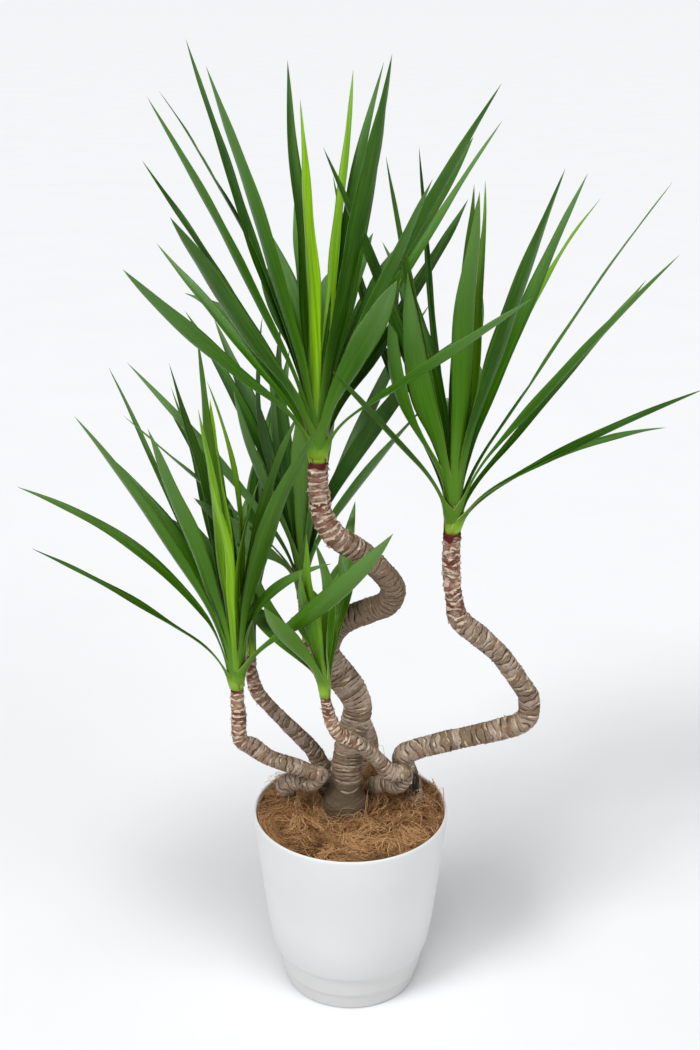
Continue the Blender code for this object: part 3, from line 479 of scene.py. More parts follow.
class Paint:
    """A procedural material: one Principled shader and the nodes that feed it."""

    def __init__(self, name, **constants):
        self.material = bpy.data.materials.new(name)
        self.material.use_nodes = True
        self.nodes = self.material.node_tree.nodes
        self.links = self.material.node_tree.links
        self.shader = self.nodes["Principled BSDF"]
        for socket, value in constants.items():
            self.shader.inputs[socket.replace("_", " ")].default_value = value

    def feed(self, socket, value):
        """Set a socket, or link it where the value is an output of another node."""
        if isinstance(value, bpy.types.NodeSocket):
            self.links.new(value, socket)
        else:
            socket.default_value = value

    def node(self, kind, inputs, output=0, **settings):
        """Add a node, and give one of its outputs."""
        made = self.nodes.new(kind)
        for key, value in settings.items():
            setattr(made, key, value)
        for key, value in inputs.items():
            self.feed(made.inputs[key], value)
        return made.outputs[output]

    def field(self, name):
        """The three numbers that the mesh holds under a name."""
        vector = self.node("ShaderNodeAttribute", {}, "Vector", attribute_name=name)
        split = self.nodes.new("ShaderNodeSeparateXYZ")
        self.links.new(vector, split.inputs[0])
        return split.outputs

    def sum(self, operation, a, b):
        """One step of arithmetic."""
        return self.node("ShaderNodeMath", {0: a, 1: b}, operation=operation)

    def times(self, a, b):
        """The product of two values."""
        return self.sum("MULTIPLY", a, b)

    def plus(self, a, b):
        """Two values added up."""
        return self.sum("ADD", a, b)

    def minus(self, a, b):
        """The first value less the second."""
        return self.sum("SUBTRACT", a, b)

    def vector(self, x, y, z):
        """A vector from three numbers."""
        return self.node("ShaderNodeCombineXYZ", {0: x, 1: y, 2: z})

    def rise(self, value, low, high, most=1):
        """A smooth rise from 0 to most while the value goes from low to high."""
        spans = {"Value": value, "From Min": low, "From Max": high, "To Max": most}
        return self.node("ShaderNodeMapRange", spans, interpolation_type="SMOOTHSTEP")

    def noise(self, vector, scale, detail=3, roughness=0.55):
        """Cloudy noise of 0 to 1."""
        settings = {"Vector": vector, "Scale": scale, "Detail": detail, "Roughness": roughness}
        return self.node("ShaderNodeTexNoise", settings)

    def blend(self, share, a, b):
        """Two colours mixed."""
        return self.node("ShaderNodeMix", {0: share, 6: a, 7: b}, 2, data_type="RGBA")

    def coats(self, colour, *coats):
        """A colour under further ones, each given as its share and its colour."""
        for share, coat in coats:
            colour = self.blend(share, colour, coat)
        return colour

    def bump(self, height, distance, under=None):
        """A relief of the given depth, on top of another."""
        inputs = {"Height": height, "Distance": distance}
        if under is not None:
            inputs["Normal"] = under
        return self.node("ShaderNodeBump", inputs)

    def finish(self, colour, roughness=None, normal=None):
        """Connect the shader and give the material."""
        self.feed(self.shader.inputs["Base Color"], colour)
        if roughness is not None:
            self.feed(self.shader.inputs["Roughness"], roughness)
        if normal is not None:
            self.feed(self.shader.inputs["Normal"], normal)
        return self.material


def leaf_paint(name, gloss):
    """Glossy green blade: lime at the sheath, lengthwise veins, pale edges, a duller underside and a painted
    grey-blue sheen toward the tips.
    """
    paint = Paint(name, Specular_IOR_Level=gloss)
    across, along, seed = paint.field("place")
    young_and_glow, shade, under = paint.field("kind")
    rim, share, height = paint.field("share")
    stretched = paint.vector(across, paint.times(along, 0.02), seed)
    veins = paint.noise(stretched, 1500, 2)
    bands = paint.noise(stretched, 300, 2)
    clouds = paint.noise(paint.vector(across, paint.times(along, 0.35), seed), 26)
    tone = paint.plus(paint.times(clouds, 0.55), paint.times(shade, 0.75))
    # Painted sheen: the outer part of the paler leaves turns grey-blue as if it reflected the light above
    far = paint.times(paint.rise(share, 0.35, 1), paint.rise(tone, 0.1, 0.9))
    spring = paint.blend(paint.rise(bands, 0.35, 0.7, 0.5), LEAF_SPRING, LEAF_MID)
    fresh = paint.minus(1, paint.rise(along, 0.03, 0.14))
    near_foot = paint.minus(1, paint.rise(along, 0.03, 0.06))
    patchy = paint.plus(height, paint.times(clouds, 0.018))
    lime = paint.times(near_foot, paint.minus(1, paint.rise(patchy, 0.014, 0.04)))
    papery = paint.times(paint.rise(rim, 0.84, 0.96), near_foot)
    torn = paint.times(paint.rise(rim, 0.93, 0.99), paint.rise(clouds, 0.45, 0.6))
    colour = paint.coats(
        paint.blend(paint.rise(tone, 0.15, 1), LEAF_DEEP, LEAF_MID),
        (paint.times(far, 0.9), LEAF_PAINTED_SHEEN),
        (paint.rise(bands, 0.4, 0.75, 0.4), LEAF_LIGHT),
        # Painted light: leaves of a crown made paler, as the back crown is, take more of the painted sheen
        (paint.rise(shade, 1, 1.7, 0.85), LEAF_PAINTED_SHEEN),
        (paint.times(under, 0.3), LEAF_UNDER),
        # Yellow-green of young leaves, partly a painted glow of light shining through them
        (young_and_glow, spring),
        (paint.times(fresh, 0.6), LEAF_BASE),
        (paint.times(lime, 0.85), LEAF_LIME),
        (paint.rise(veins, 0.5, 0.8, 0.25), LEAF_LIGHT),
        (paint.rise(rim, 0.95, 1, 0.55), LEAF_EDGE),
        (paint.times(papery, 0.75), SHEATH_PAPER),
        (paint.times(torn, near_foot), SHEATH_BROWN),
        (paint.rise(share, 0.975, 0.998, 0.8), LEAF_TIP),
    )
    rough = paint.plus(paint.times(clouds, 0.2), 0.1)
    rough = paint.plus(rough, paint.times(under, 0.1))
    normal = paint.bump(veins, 0.00025)
    normal = paint.bump(bands, 0.0007, normal)
    normal = paint.bump(clouds, 0.0014, normal)
    return paint.finish(colour, rough, normal)


def bark_paint():
    """Ringed bark: ragged cream bands on maroon near the crown, taupe plates with dark cracks lower down."""
    paint = Paint("bark", Specular_IOR_Level=0.2)
    around, along, seed = paint.field("place")
    lip, groove, age = paint.field("ring")
    band, wound, crack = paint.field("mark")
    plate, buried, scar = paint.field("tone")
    place = paint.vector(around, along, seed)
    grain = paint.noise(paint.vector(around, paint.times(along, 0.25), seed), 900, 4, 0.65)
    flecks = paint.noise(paint.vector(paint.times(around, 0.4), along, seed), 480, 5, 0.75)
    shreds = paint.noise(paint.vector(paint.times(around, 0.25), along, seed), 950, 3, 0.6)
    streaks = paint.noise(paint.vector(around, paint.times(along, 0.3), seed), 420)
    clouds = paint.noise(place, 75, 4)
    rusty = paint.noise(place, 38, 4, 0.6)
    patches = paint.rise(paint.plus(paint.times(clouds, 0.6), paint.times(plate, 0.4)), 0.3, 0.7)
    edge = paint.times(paint.rise(lip, 0.25, 0.7), paint.rise(flecks, 0.3, 0.5))
    smudge = paint.plus(paint.times(flecks, 0.6), paint.times(clouds, 0.5))
    young = paint.coats(
        paint.blend(patches, YOUNG_MAROON, YOUNG_PINK),
        (paint.rise(grain, 0.45, 0.75, 0.45), YOUNG_GROOVE),
        (paint.rise(smudge, 0.52, 0.74, 0.7), YOUNG_CREAM),
        (paint.times(groove, 0.6), YOUNG_GROOVE),
        (paint.times(edge, 0.95), YOUNG_CREAM),
    )
    old = paint.coats(
        paint.blend(patches, OLD_TAUPE, OLD_GREY),
        (paint.rise(rusty, 0.5, 0.68, 0.6), OLD_RUST),
        (paint.rise(grain, 0.45, 0.72, 0.65), OLD_BROWN),
        (paint.rise(shreds, 0.56, 0.74, 0.55), OLD_CREAM),
        (paint.times(groove, 0.85), OLD_GROOVE),
        (paint.times(edge, 0.85), OLD_CREAM),
    )
    foot = paint.blend(paint.rise(grain, 0.35, 0.75, 0.5), TRUNK_FOOT, OLD_GROOVE)
    charred = paint.blend(paint.rise(streaks, 0.5, 0.7), WOUND_DARK, WOUND_GREY)
    torn = paint.plus(wound, paint.times(paint.minus(flecks, 0.5), 1.4))
    colour = paint.coats(
        young,
        (age, old),
        (paint.times(crack, 0.95), CRACK_DARK),
        (paint.times(buried, 0.85), foot),
        (paint.times(scar, 0.75), SCAR_PALE),
        (paint.rise(torn, 0.42, 0.58), charred),
        (band, BAND_MAROON),
    )
    rough = paint.plus(paint.times(flecks, 0.25), 0.55)
    normal = paint.bump(grain, 0.0009)
    normal = paint.bump(flecks, 0.0014, normal)
    return paint.finish(colour, rough, normal)


def fibre_paint():
    """Coconut fibres, each with its own brown: darker for low locks and paler for raised ones, partly
    painted shade and light.
    """
    paint = Paint("coir", Specular_IOR_Level=0.25)
    tint, along, seed = paint.field("place")
    streak = paint.noise(paint.vector(tint, along, seed), 300, 2)
    colour = paint.coats(
        paint.blend(paint.rise(tint, 0, 0.55), COIR_DARK, COIR_BROWN),
        (paint.rise(tint, 0.5, 1), COIR_TAN),
        (paint.rise(streak, 0.4, 0.8, 0.35), COIR_TAN),
    )
    return paint.finish(colour, paint.plus(paint.times(streak, 0.2), 0.6))


def ground_paint(name, dark, light, scale, depth):
    """Crumbly ground: two colours and a grainy relief."""
    paint = Paint(name, Roughness=0.95, Specular_IOR_Level=0.2)
    place = paint.node("ShaderNodeTexCoord", {}, "Object")
    crumbs = paint.noise(place, scale, 6, 0.7)
    colour = paint.blend(paint.rise(crumbs, 0.35, 0.65), dark, light)
    return paint.finish(colour, None, paint.bump(crumbs, depth))


def plastic_paint():
    """White moulded plastic: satin, faintly grained and a little cloudy, with painted shade darkening it
    toward the foot.
    """
    paint = Paint("white_plastic", Specular_IOR_Level=0.45)
    place = paint.node("ShaderNodeTexCoord", {}, "Object")
    clouds = paint.noise(place, 9, 3)
    grain = paint.noise(place, 1400, 2)
    colour = paint.blend(paint.rise(clouds, 0.3, 0.7), PLASTIC_WHITE, PLASTIC_SHADE)
    # Painted shade: the plastic darkens toward the planter's foot
    height = paint.node("ShaderNodeSeparateXYZ", {"Vector": place}, "Z")
    foot_shade = paint.minus(1, paint.rise(height, 0.01, 0.15))
    colour = paint.blend(paint.times(foot_shade, 0.8), colour, PLASTIC_FOOT_SHADE)
    rough = paint.plus(paint.times(clouds, 0.1), 0.38)
    return paint.finish(colour, rough, paint.bump(grain, 0.00006))


def floor_paint():
    """Pale plain floor with a trace of unevenness."""
    paint = Paint("pale_floor", Specular_IOR_Level=0.3)
    place = paint.node("ShaderNodeTexCoord", {}, "Object")
    clouds = paint.noise(place, 2.5, 4)
    colour = paint.blend(paint.rise(clouds, 0.3, 0.7), FLOOR_LIGHT, FLOOR_SHADE)
    return paint.finish(colour, paint.plus(paint.times(clouds, 0.1), 0.6))


def grid_faces(rows, sides):
    """Quads of a tube whose rings have so many corners."""
    row = np.arange(rows - 1)[:, None] * sides
    k = np.arange(sides)[None, :]
    after = (k + 1) % sides
    quads = np.stack([row + k, row + after, row + sides + after, row + sides + k], axis=-1)
    return quads.reshape(-1, 4)


def closed_faces(rows, sides):
    """Faces of such a tube with its two flat ends."""
    last = (rows - 1) * sides
    ends = [list(range(sides - 1, -1, -1)), list(range(last, last + sides))]
    return grid_faces(rows, sides).tolist() + ends


def ring_points(radius, height, sides):
    """Corners of a level ring round the planter's axis."""
    angles = [2 * math.pi * k / sides for k in range(sides)]
    return [(radius * math.cos(angle), radius * math.sin(angle), height) for angle in angles]


def show(name, data):
    """A new object of the scene."""
    thing = bpy.data.objects.new(name, data)
    bpy.context.collection.objects.link(thing)
    return thing


def piece(name, points, faces, material, fields, node):
    """A mesh piece that stands for a solid of the plant."""
    mesh = bpy.data.meshes.new(name)
    mesh.from_pydata(np.asarray(points).tolist(), [], faces)
    for label, values in fields.items():
        layer = mesh.attributes.new(label, "FLOAT_VECTOR", "POINT")
        layer.data.foreach_set("vector", np.asarray(values, dtype=np.float32).ravel())
    mesh.materials.append(material)
    mesh.shade_smooth()
    thing = show(name, mesh)
    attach(thing, "root")
    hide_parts(node)
    return mesh


def curve_through(route, steps):
    """Points on a smooth curve through all the rows of a route."""
    route = np.asarray(route, dtype=float)
    under = 2 * route[0] - route[1]
    over = 2 * route[-1] - route[-2]
    points = np.vstack([under, route, over])
    result = []
    for i in range(1, len(points) - 2):
        a, b, c, d = points[i - 1:i + 3]
        for k in range(steps):
            t = k / steps
            value = 2 * b + (c - a) * t + (2 * a - 5 * b + 4 * c - d) * t * t
            result.append(0.5 * (value + (3 * b - a - 3 * c + d) * t ** 3))
    result.append(route[-1])
    return np.array(result)


def travelled(points):
    """How far each point of a route lies from its start."""
    return np.concatenate([[0], np.cumsum(np.linalg.norm(np.diff(points, axis=0), axis=1))])


def evenly(points, spacing):
    """The same curve with its points at even distances, and those distances."""
    reach = travelled(points[:, :3])
    count = max(int(reach[-1] / spacing), 2)
    wanted = np.linspace(0, reach[-1], count + 1)
    columns = [np.interp(wanted, reach, points[:, k]) for k in range(points.shape[1])]
    return np.stack(columns, axis=1), wanted


def frames_along(centres):
    """Course, across and other directions of a tube that doesn't turn about itself."""
    course = unit(np.gradient(centres, axis=0))
    across = np.empty_like(course)
    current = np.array([1, 0, 0])
    for i, way in enumerate(course):
        current = current - way * current.dot(way)
        current = current / np.linalg.norm(current)
        across[i] = current
    return course, across, np.cross(course, across)


def make_cane(name, route, sides, skin, seed, material):
    """A cane with leaf-scar rings, from its peg in the soil to the crown's foot."""
    pitch, top_pitch, relief, young_length, cracks, base_length, band_length = skin
    draw = np.random.default_rng(seed)
    x, y, z, radius = route[0]
    peg = [(x, y, PEG_FOOT, radius), (x, y, (PEG_FOOT + z) / 2, radius)]
    path, along = evenly(curve_through(peg + list(route), 24), RING_STEP)
    centres = path[:, :3]
    course, across, other = frames_along(centres)
    angle = (2 * math.pi * np.arange(sides) / sides)[None, :]
    outward = np.cos(angle)[..., None] * across[:, None, :] + np.sin(angle)[..., None] * other[:, None, :]
    s = along[:, None]
    waves = functools.partial(ripple, draw, angle, s)

    # Age of the bark, from young near the crown to old, and how far it lies in the smooth base
    from_top = (along[-1] - along)[:, None]
    age = smooth((from_top - young_length * 0.75 + 0.012 * waves(0.05)) / (young_length * 0.6))
    above_soil = s - (z - PEG_FOOT)
    buried = 1 - smooth((above_soil - base_length + 0.004 * waves(0.04, 3)) / 0.008)

    # Rings: each turn of the bark has a lip, a groove over it and a tone of its own
    spacing = pitch + (top_pitch - pitch) * smooth(along / along[-1])
    turns = np.cumsum(RING_STEP / spacing)[:, None]
    turns = turns + 0.3 * waves(0.045, 2) + 0.12 * waves(0.016, 6)
    part = turns - np.floor(turns)
    plate = draw.uniform(0, 1, TONES)[np.floor(turns).astype(int) % TONES]
    near = np.minimum(part, 1 - part)
    strength = np.clip(0.62 + 0.25 * (1 - age) + 0.55 * waves(0.02, 5, 14), 0.08, 1.3)
    lip = np.exp(-(near / 0.15) ** 2) * strength * (1 - 0.4 * cracks * age)
    hollow = np.exp(-((part - 0.2) / 0.075) ** 2)
    groove = hollow * np.clip(0.5 + 0.6 * waves(0.014, 6, 14), 0, 1)
    crack = hollow * smooth((age - 0.35) / 0.4)
    crack = crack * smooth((waves(0.055, 3, 12) + cracks - 0.45) / 0.6)
    lip, groove, crack = [value * (1 - 0.9 * buried) for value in (lip, groove, crack)]
    # Painted shade and wear: a stretch of the trunk's bend is darker, with fewer pale lips and more cracks
    if name == "cane_main":
        wear_and_shade = np.exp(-((from_top - SHADED_WEAR_PLACE) / SHADED_WEAR_LENGTH) ** 4)
        plate = plate * (1 - 0.8 * wear_and_shade)
        crack = np.maximum(crack, 0.8 * wear_and_shade * groove * smooth((waves(0.03, 4, 12) + 0.2) / 0.6))
        lip = lip * (1 - 0.45 * wear_and_shade)

    # Surface: uneven thickness under the relief of the rings
    belly = np.sin(math.pi * part) * (1 - buried)
    lumps = waves(0.09, 2)
    knobs = waves(0.028, 3)
    fine = waves(0.005, 14, 24)
    girth = path[:, 3][:, None]
    size = girth * (1 + 0.024 * lumps + 0.016 * knobs)
    ends = smooth(from_top / 0.004)
    size = size + ends * relief * (lip + 0.35 * belly - 0.75 * groove - 1.1 * crack + 0.18 * fine - 0.3)
    points = centres[:, None, :] + size[..., None] * outward
    band = 1 - smooth((from_top - band_length + 0.005 * waves(0.03, 4)) / 0.003)
    wound = wound_on_right(points) if name == "cane_right" else 0
    scar = scar_on_trunk(points, 0.0009 * waves(0.03, 8)) if name == "cane_main" else 0
    fields = {
        "place": layers(lip.shape, angle * girth, s, seed * 0.37),
        "ring": layers(lip.shape, lip, groove, age),
        "mark": layers(lip.shape, band, wound, crack),
        "tone": layers(lip.shape, plate, buried, scar),
    }
    faces = closed_faces(len(path), sides)
    piece(name + "_bark", points.reshape(-1, 3), faces, material, fields, name)
    first = int(np.searchsorted(above_soil[:, 0], base_length + 0.01))
    make_chips(name, points, outward, course, lip, fields, first, draw, material)


def make_chips(name, points, outward, course, lip, fields, first, draw, material):
    """Small papery flakes that stand off the lips of the bark's rings."""
    rows, sides = lip.shape
    wanted = int((rows - first) * RING_STEP * CHIPS_PER_METRE)
    corners = []
    faces = []
    values = {label: [] for label in fields}
    while wanted > 0:
        i, k = int(draw.integers(first, rows - 8)), int(draw.integers(0, sides))
        if lip[i, k] < draw.uniform(0.35, 0.9):
            continue
        wanted -= 1
        reach = int(draw.integers(2, 5))
        way = course[i] * draw.choice([-1, 1], p=[0.75, 0.25])
        tall, lift = draw.uniform(0.0012, 0.0034), draw.uniform(0.15, 0.9)
        columns = [(k + step) % sides for step in range(-reach, reach + 1)]
        count = len(columns)
        base = len(corners)
        for level in range(CHIP_STEPS):
            t = level / (CHIP_STEPS - 1)
            for place, column in enumerate(columns):
                u = 2 * place / (count - 1) - 1
                grow = tall * t * (1 - 0.75 * u * u) * (0.8 + 0.4 * math.sin(5 * u + i))
                corners.append(points[i, column] + outward[i, column] * (grow * lift - 0.0003) + way * grow)
        for column in columns:
            corners.append(points[i, column] + way * tall * 0.3 - outward[i, column] * 0.0008)
        for level in range(CHIP_STEPS):
            for place in range(count - 1):
                a = base + level * count + place
                faces.append([a, a + 1, a + count + 1, a + count])
        for label, table in fields.items():
            for _ in range(CHIP_STEPS + 1):
                values[label] += [table[i, column] for column in columns]
    for value in values["ring"]:
        value[0] = 1
    piece(name + "_chips", corners, faces, material, values, name)


def scar_on_trunk(points, wobble):
    """How far each point lies on the pale scar line across the front of the trunk's foot."""
    x, y, z = points[..., 0], points[..., 1], points[..., 2]
    left, right = TRUNK_SCAR_ENDS
    middle = (left + right) / 2
    off = z - TRUNK_SCAR_HEIGHT - TRUNK_SCAR_SAG * (x - middle) ** 2 + wobble
    line = np.exp(-(off / TRUNK_SCAR_WIDTH) ** 2)
    return line * smooth((x - left) / 0.004) * smooth((right - x) / 0.004) * smooth(-y / 0.01)


def wound_on_right(points):
    """How far each point lies in the dark pruning scar low on the right cane."""
    offset = (points - np.array(WOUND_PLACE)) / np.array(WOUND_SIZE)
    wobble = 0.2 * np.sin(points[..., 2] * 610 + 2 * np.sin(points[..., 0] * 520))
    wobble = wobble + 0.18 * np.sin(points[..., 0] * 1400)
    return 1 - smooth((np.linalg.norm(offset, axis=-1) - 0.75 + wobble) / 0.5)


def blade_spread(share, neck, widest):
    """Width of a blade at a share of its length, next to its greatest width."""
    fall = np.clip((share - widest) / (1 - widest), 0, 1)
    return (neck + (1 - neck) * smooth(share / widest)) * (1 - fall ** POINT_TAPER)


def make_leaf(foot, row, core_radius, low, high, brightness, tone_and_painted_light, draw):
    """Corners, fields, ring count and ring size of one leaf, from its clasping sheath to its point."""
    heading, lean, length, width, arch, sway, twist = row
    heading = math.radians(heading)
    tilt = math.radians(lean)
    up_axis = np.array([0, 0, 1])
    out = np.array([math.cos(heading), math.sin(heading), 0])
    side = np.array([-math.sin(heading), math.cos(heading), 0])
    along = math.sin(tilt) * out + math.cos(tilt) * up_axis
    face = np.cross(along, side)
    lowness = min(lean / LOW_LEAN, 1)
    height = low + (high - low) * (1 - lowness)
    root = foot + out * core_radius * ROOT_INSET + up_axis * height
    tip = root + along * length
    bow = face * arch + side * sway
    widest = WIDEST_UPRIGHT + (WIDEST_LOW - WIDEST_UPRIGHT) * lowness
    neck = min(NECK_UPRIGHT + (NECK_LOW - NECK_UPRIGHT) * lowness, NECK_TO_CORE * core_radius / width)
    neck = neck + FULLER_NECK * (1 - lowness) ** 2

    # Blade: the course of the solid's leaf, with a slight wander of its own
    join = min(JOIN_LENGTH, 0.3 * length) / length
    share = join + (1 - join) * (np.arange(BLADE_RINGS) / BLADE_RINGS) ** 0.95
    wander = waver(draw, share, 5, 9) * smooth(share / 0.35) * smooth((1 - share) / 0.4)
    t = share[:, None]
    blade = root + along * length * t + bow * 4 * t * (1 - t)
    blade = blade + side * (wander * draw.uniform(0.001, 0.0045))[:, None]
    blade_course = unit(along * length + bow * 4 * (1 - 2 * t))

    # Sheath: it hugs the leafy core up to the leaf's own height, then bows out into the blade
    start_radius = core_radius * (0.76 + 0.2 * min(lean / 50, 1))
    start_height = max(draw.uniform(-0.001, 0.003), height - draw.uniform(*SHEATH_DROP))
    climb = 0.8 * (height - start_height) + 0.012
    start = foot + out * start_radius + up_axis * start_height
    upper = foot + out * (start_radius + core_radius * 0.12) + up_axis * (start_height + climb)
    lower = blade[0] - blade_course[0] * 0.028
    q = np.linspace(0, 1, SHEATH_RINGS, endpoint=False)[:, None]
    sheath = (1 - q) ** 3 * start + 3 * q * (1 - q) ** 2 * upper
    sheath = sheath + 3 * q ** 2 * (1 - q) * lower + q ** 3 * blade[0]

    # Directions across the leaf and up from its face, turned by its twist
    centres = np.vstack([sheath, blade])
    course = unit(np.gradient(centres, axis=0))
    course[0] = up_axis
    turn = np.concatenate([q[:, 0], np.ones(BLADE_RINGS)])[:, None]
    up = (1 - turn ** 2) * np.cross(course, side) + turn ** 2 * face
    up = unit(up - course * np.sum(up * course, axis=1, keepdims=True))
    beside = np.cross(course, up)
    shares = np.concatenate([q[:, 0] * join, share])
    run = travelled(centres)
    wring = math.radians(draw.uniform(2, 7)) * waver(draw, run, 14, 26) * smooth(shares / 0.3)
    angle = (math.radians(twist) * smooth(shares / TWIST_PART) + wring)[:, None]
    edge = np.cos(angle) * beside - np.sin(angle) * up
    normal = np.cos(angle) * up + np.sin(angle) * beside

    # Width, channel, thickness and the wave of the edges along the leaf
    clasp_length = CLASP_LENGTH + (LOW_CLASP_LENGTH - CLASP_LENGTH) * lowness
    clasp = 1 - smooth(run / clasp_length)
    half = width * blade_spread(shares, neck, widest) / 2
    half = half * (1 + draw.uniform(0.01, 0.05) * waver(draw, run, 30, 55))
    half = half * (1 - clasp) + start_radius * CLASP_ANGLE * clasp
    bend = BLADE_BEND + (CLASP_ANGLE - BLADE_BEND) * (1 - smooth(run / (1.6 * clasp_length)))
    thick = (BLADE_THICKNESS + SHEATH_EXTRA * np.exp(-run / 0.06)) * (0.15 + 0.85 * smooth(run / 0.006))
    thick = thick * (1 - 0.45 * smooth((shares - 0.5) / 0.5))
    wave = draw.uniform(0.0003, 0.0011) * waver(draw, run, 35, 60)
    wave = wave * smooth(shares / 0.25) * smooth((1 - shares) / 0.2)

    # Rings of corners: over the face from edge to edge, then back under it
    u = np.array(COLUMNS)[None, :]
    h = half[:, None]
    b = bend[:, None]
    lateral = h * np.sin(b * u) / b
    lift = h * ((1 - VEE) * (1 - np.cos(b * u)) / b + VEE * b * np.abs(u) / 2)
    lift = lift + wave[:, None] * u * np.abs(u)
    top = centres[:, None, :] + edge[:, None, :] * lateral[..., None] + normal[:, None, :] * lift[..., None]
    slope = np.cos(b * u)[..., None] * normal[:, None, :] - np.sin(b * u)[..., None] * edge[:, None, :]
    under = top - slope * (thick[:, None] * (1 - 0.7 * u ** 2))[..., None]
    rings = np.concatenate([top, under[:, -2:0:-1]], axis=1)
    u_loop = np.concatenate([COLUMNS, COLUMNS[-2:0:-1]])
    below = np.array([0] * len(COLUMNS) + [1] * (len(COLUMNS) - 2))

    # Fields: over the rings, then at the tip
    shape = rings.shape[:2]
    seed = draw.uniform(0, 9)
    # The crown's share adds to the leaf's own tone: a deeper green for the right crown, painted light for
    # the back crown
    shade = draw.uniform(0, 1) + tone_and_painted_light
    young_and_glow = max(brightness, 0.25 * max(0, 1 - lean / 16))
    above_foot = rings[..., 2] - foot[2]
    tables = [
        (layers(shape, h * u_loop, run[:, None], seed), [0, run[-1], seed]),
        (layers(shape, young_and_glow, shade, below), [young_and_glow, shade, 0]),
        (layers(shape, np.abs(u_loop), shares[:, None], above_foot), [0, 1, tip[2] - foot[2]]),
    ]
    fields = [np.vstack([table.reshape(-1, 3), at_tip]) for table, at_tip in tables]
    return np.vstack([rings.reshape(-1, 3), tip]), fields, *shape


def make_core(foot, core_radius, high):
    """The pale leafy core that the sheaths clasp, with the same four results as a leaf."""
    points = []
    places = []
    where = []
    for up, wide in curve_through(CORE_SHAPE, 4):
        size = core_radius * wide
        for k, corner in enumerate(ring_points(size, high * up, CORE_SIDES)):
            angle = 2 * math.pi * k / CORE_SIDES
            points.append(foot + corner)
            places.append((size * angle, high * up * 0.3, 3))
            where.append((0, 0, high * up))
    still = np.tile([0, 0.6, 0], (len(points), 1))
    fields = [np.array(places), still, np.array(where)]
    return np.array(points), fields, len(points) // CORE_SIDES, CORE_SIDES


def make_crown(name, foot, leaves, core_radius, low, high, seed, material):
    """A crown: its core and all its leaves, as one piece."""
    draw = np.random.default_rng(seed)
    foot = np.array(foot)
    made = [make_core(foot, core_radius, high)]
    tone_and_painted_light = CROWN_TONE_AND_PAINTED_LIGHT.get(name, 0)
    for number, row in enumerate(leaves):
        brightness = BRIGHT_LEAVES.get((name, number), CROWN_FRESHNESS.get(name, 0))
        made.append(make_leaf(foot, row, core_radius, low, high, brightness, tone_and_painted_light, draw))
    points = []
    fields = {"place": [], "kind": [], "share": []}
    faces = []
    base = 0
    for corners, values, rows, loop in made:
        faces += (grid_faces(rows, loop) + base).tolist()
        faces.append([base + k for k in range(loop - 1, -1, -1)])
        last = base + (rows - 1) * loop
        if len(corners) > rows * loop:
            tip = base + rows * loop
            faces += [[last + k, last + (k + 1) % loop, tip] for k in range(loop)]
        else:
            faces.append([last + k for k in range(loop)])
        points.append(corners)
        for pile, value in zip(fields.values(), values):
            pile.append(value)
        base += len(corners)
    stacked = {label: np.vstack(pile) for label, pile in fields.items()}
    node = "crown_" + name
    piece(node + "_leaves", np.vstack(points), faces, material, stacked, node)


def make_planter(material):
    """The planter: a smooth turned shell with a rounded lip and two soft steps near the foot."""
    outline = list(curve_through(POT_OUTSIDE, 3))
    for k in range(1, LIP_STEPS):
        turn = math.pi * k / LIP_STEPS
        outline.append((LIP_HEIGHT + LIP_RISE * math.sin(turn), LIP_MIDDLE + LIP_HALF * math.cos(turn)))
    outline += list(curve_through(POT_INSIDE, 3)[::-1])
    points = []
    for height, radius in outline:
        points += ring_points(radius, height, POT_SIDES)
    faces = closed_faces(len(outline), POT_SIDES)
    shell = piece("planter_shell", points, faces, material, {}, "planter")
    shell.set_sharp_from_angle(angle=math.radians(POT_CREASE))


def coir_top(x, y):
    """Height of the coir: a shallow bowl, heaped a little round the canes, with soft lumps and mounds."""
    out = np.hypot(x, y) / COIR_RADIUS
    height = COIR_MIDDLE + (COIR_EDGE - COIR_MIDDLE) * out ** 2
    for cx, cy, _, radius in CANE_FEET:
        heap = COIR_HEAP * (0.6 + 20 * radius)
        off = (np.hypot(x - cx, y - cy) - radius) / 0.02
        height = height + heap * np.exp(-off ** 2) * (1 - out ** 4)
    for cx, cy, wide, tall in COIR_MOUNDS:
        height = height + tall * np.exp(-((x - cx) ** 2 + (y - cy) ** 2) / wide ** 2) * (1 - out ** 6)
    lumps = np.sin(61 * x + 2 * np.sin(47 * y)) * np.cos(71 * y - 0.7)
    tufts = np.sin(250 * x + 2.1 * np.sin(140 * y)) * np.cos(230 * y + 1.9 * np.sin(160 * x))
    return height + (0.003 * lumps + 0.0022 * tufts) * (1 - out ** 4)


def make_coir_bed(material):
    """The dark matted body of the coir, its browns partly painted shadow under the loose fibres."""
    points = ring_points(COIR_RADIUS - 0.0015, COIR_BOTTOM, COIR_SIDES)
    points += ring_points(COIR_RADIUS, COIR_EDGE - 0.002, COIR_SIDES)
    for step in range(1, COIR_BANDS):
        for x, y, _ in ring_points(COIR_RADIUS * (1 - step / COIR_BANDS), 0, COIR_SIDES):
            rough = 0.003 * noise.noise(Vector((x * 130, y * 130, 0)))
            points.append((x, y, float(coir_top(x, y)) - 0.0035 + rough))
    faces = closed_faces(COIR_BANDS + 1, COIR_SIDES)
    piece("coir_bed", points, faces, material, {}, "coir_mulch")


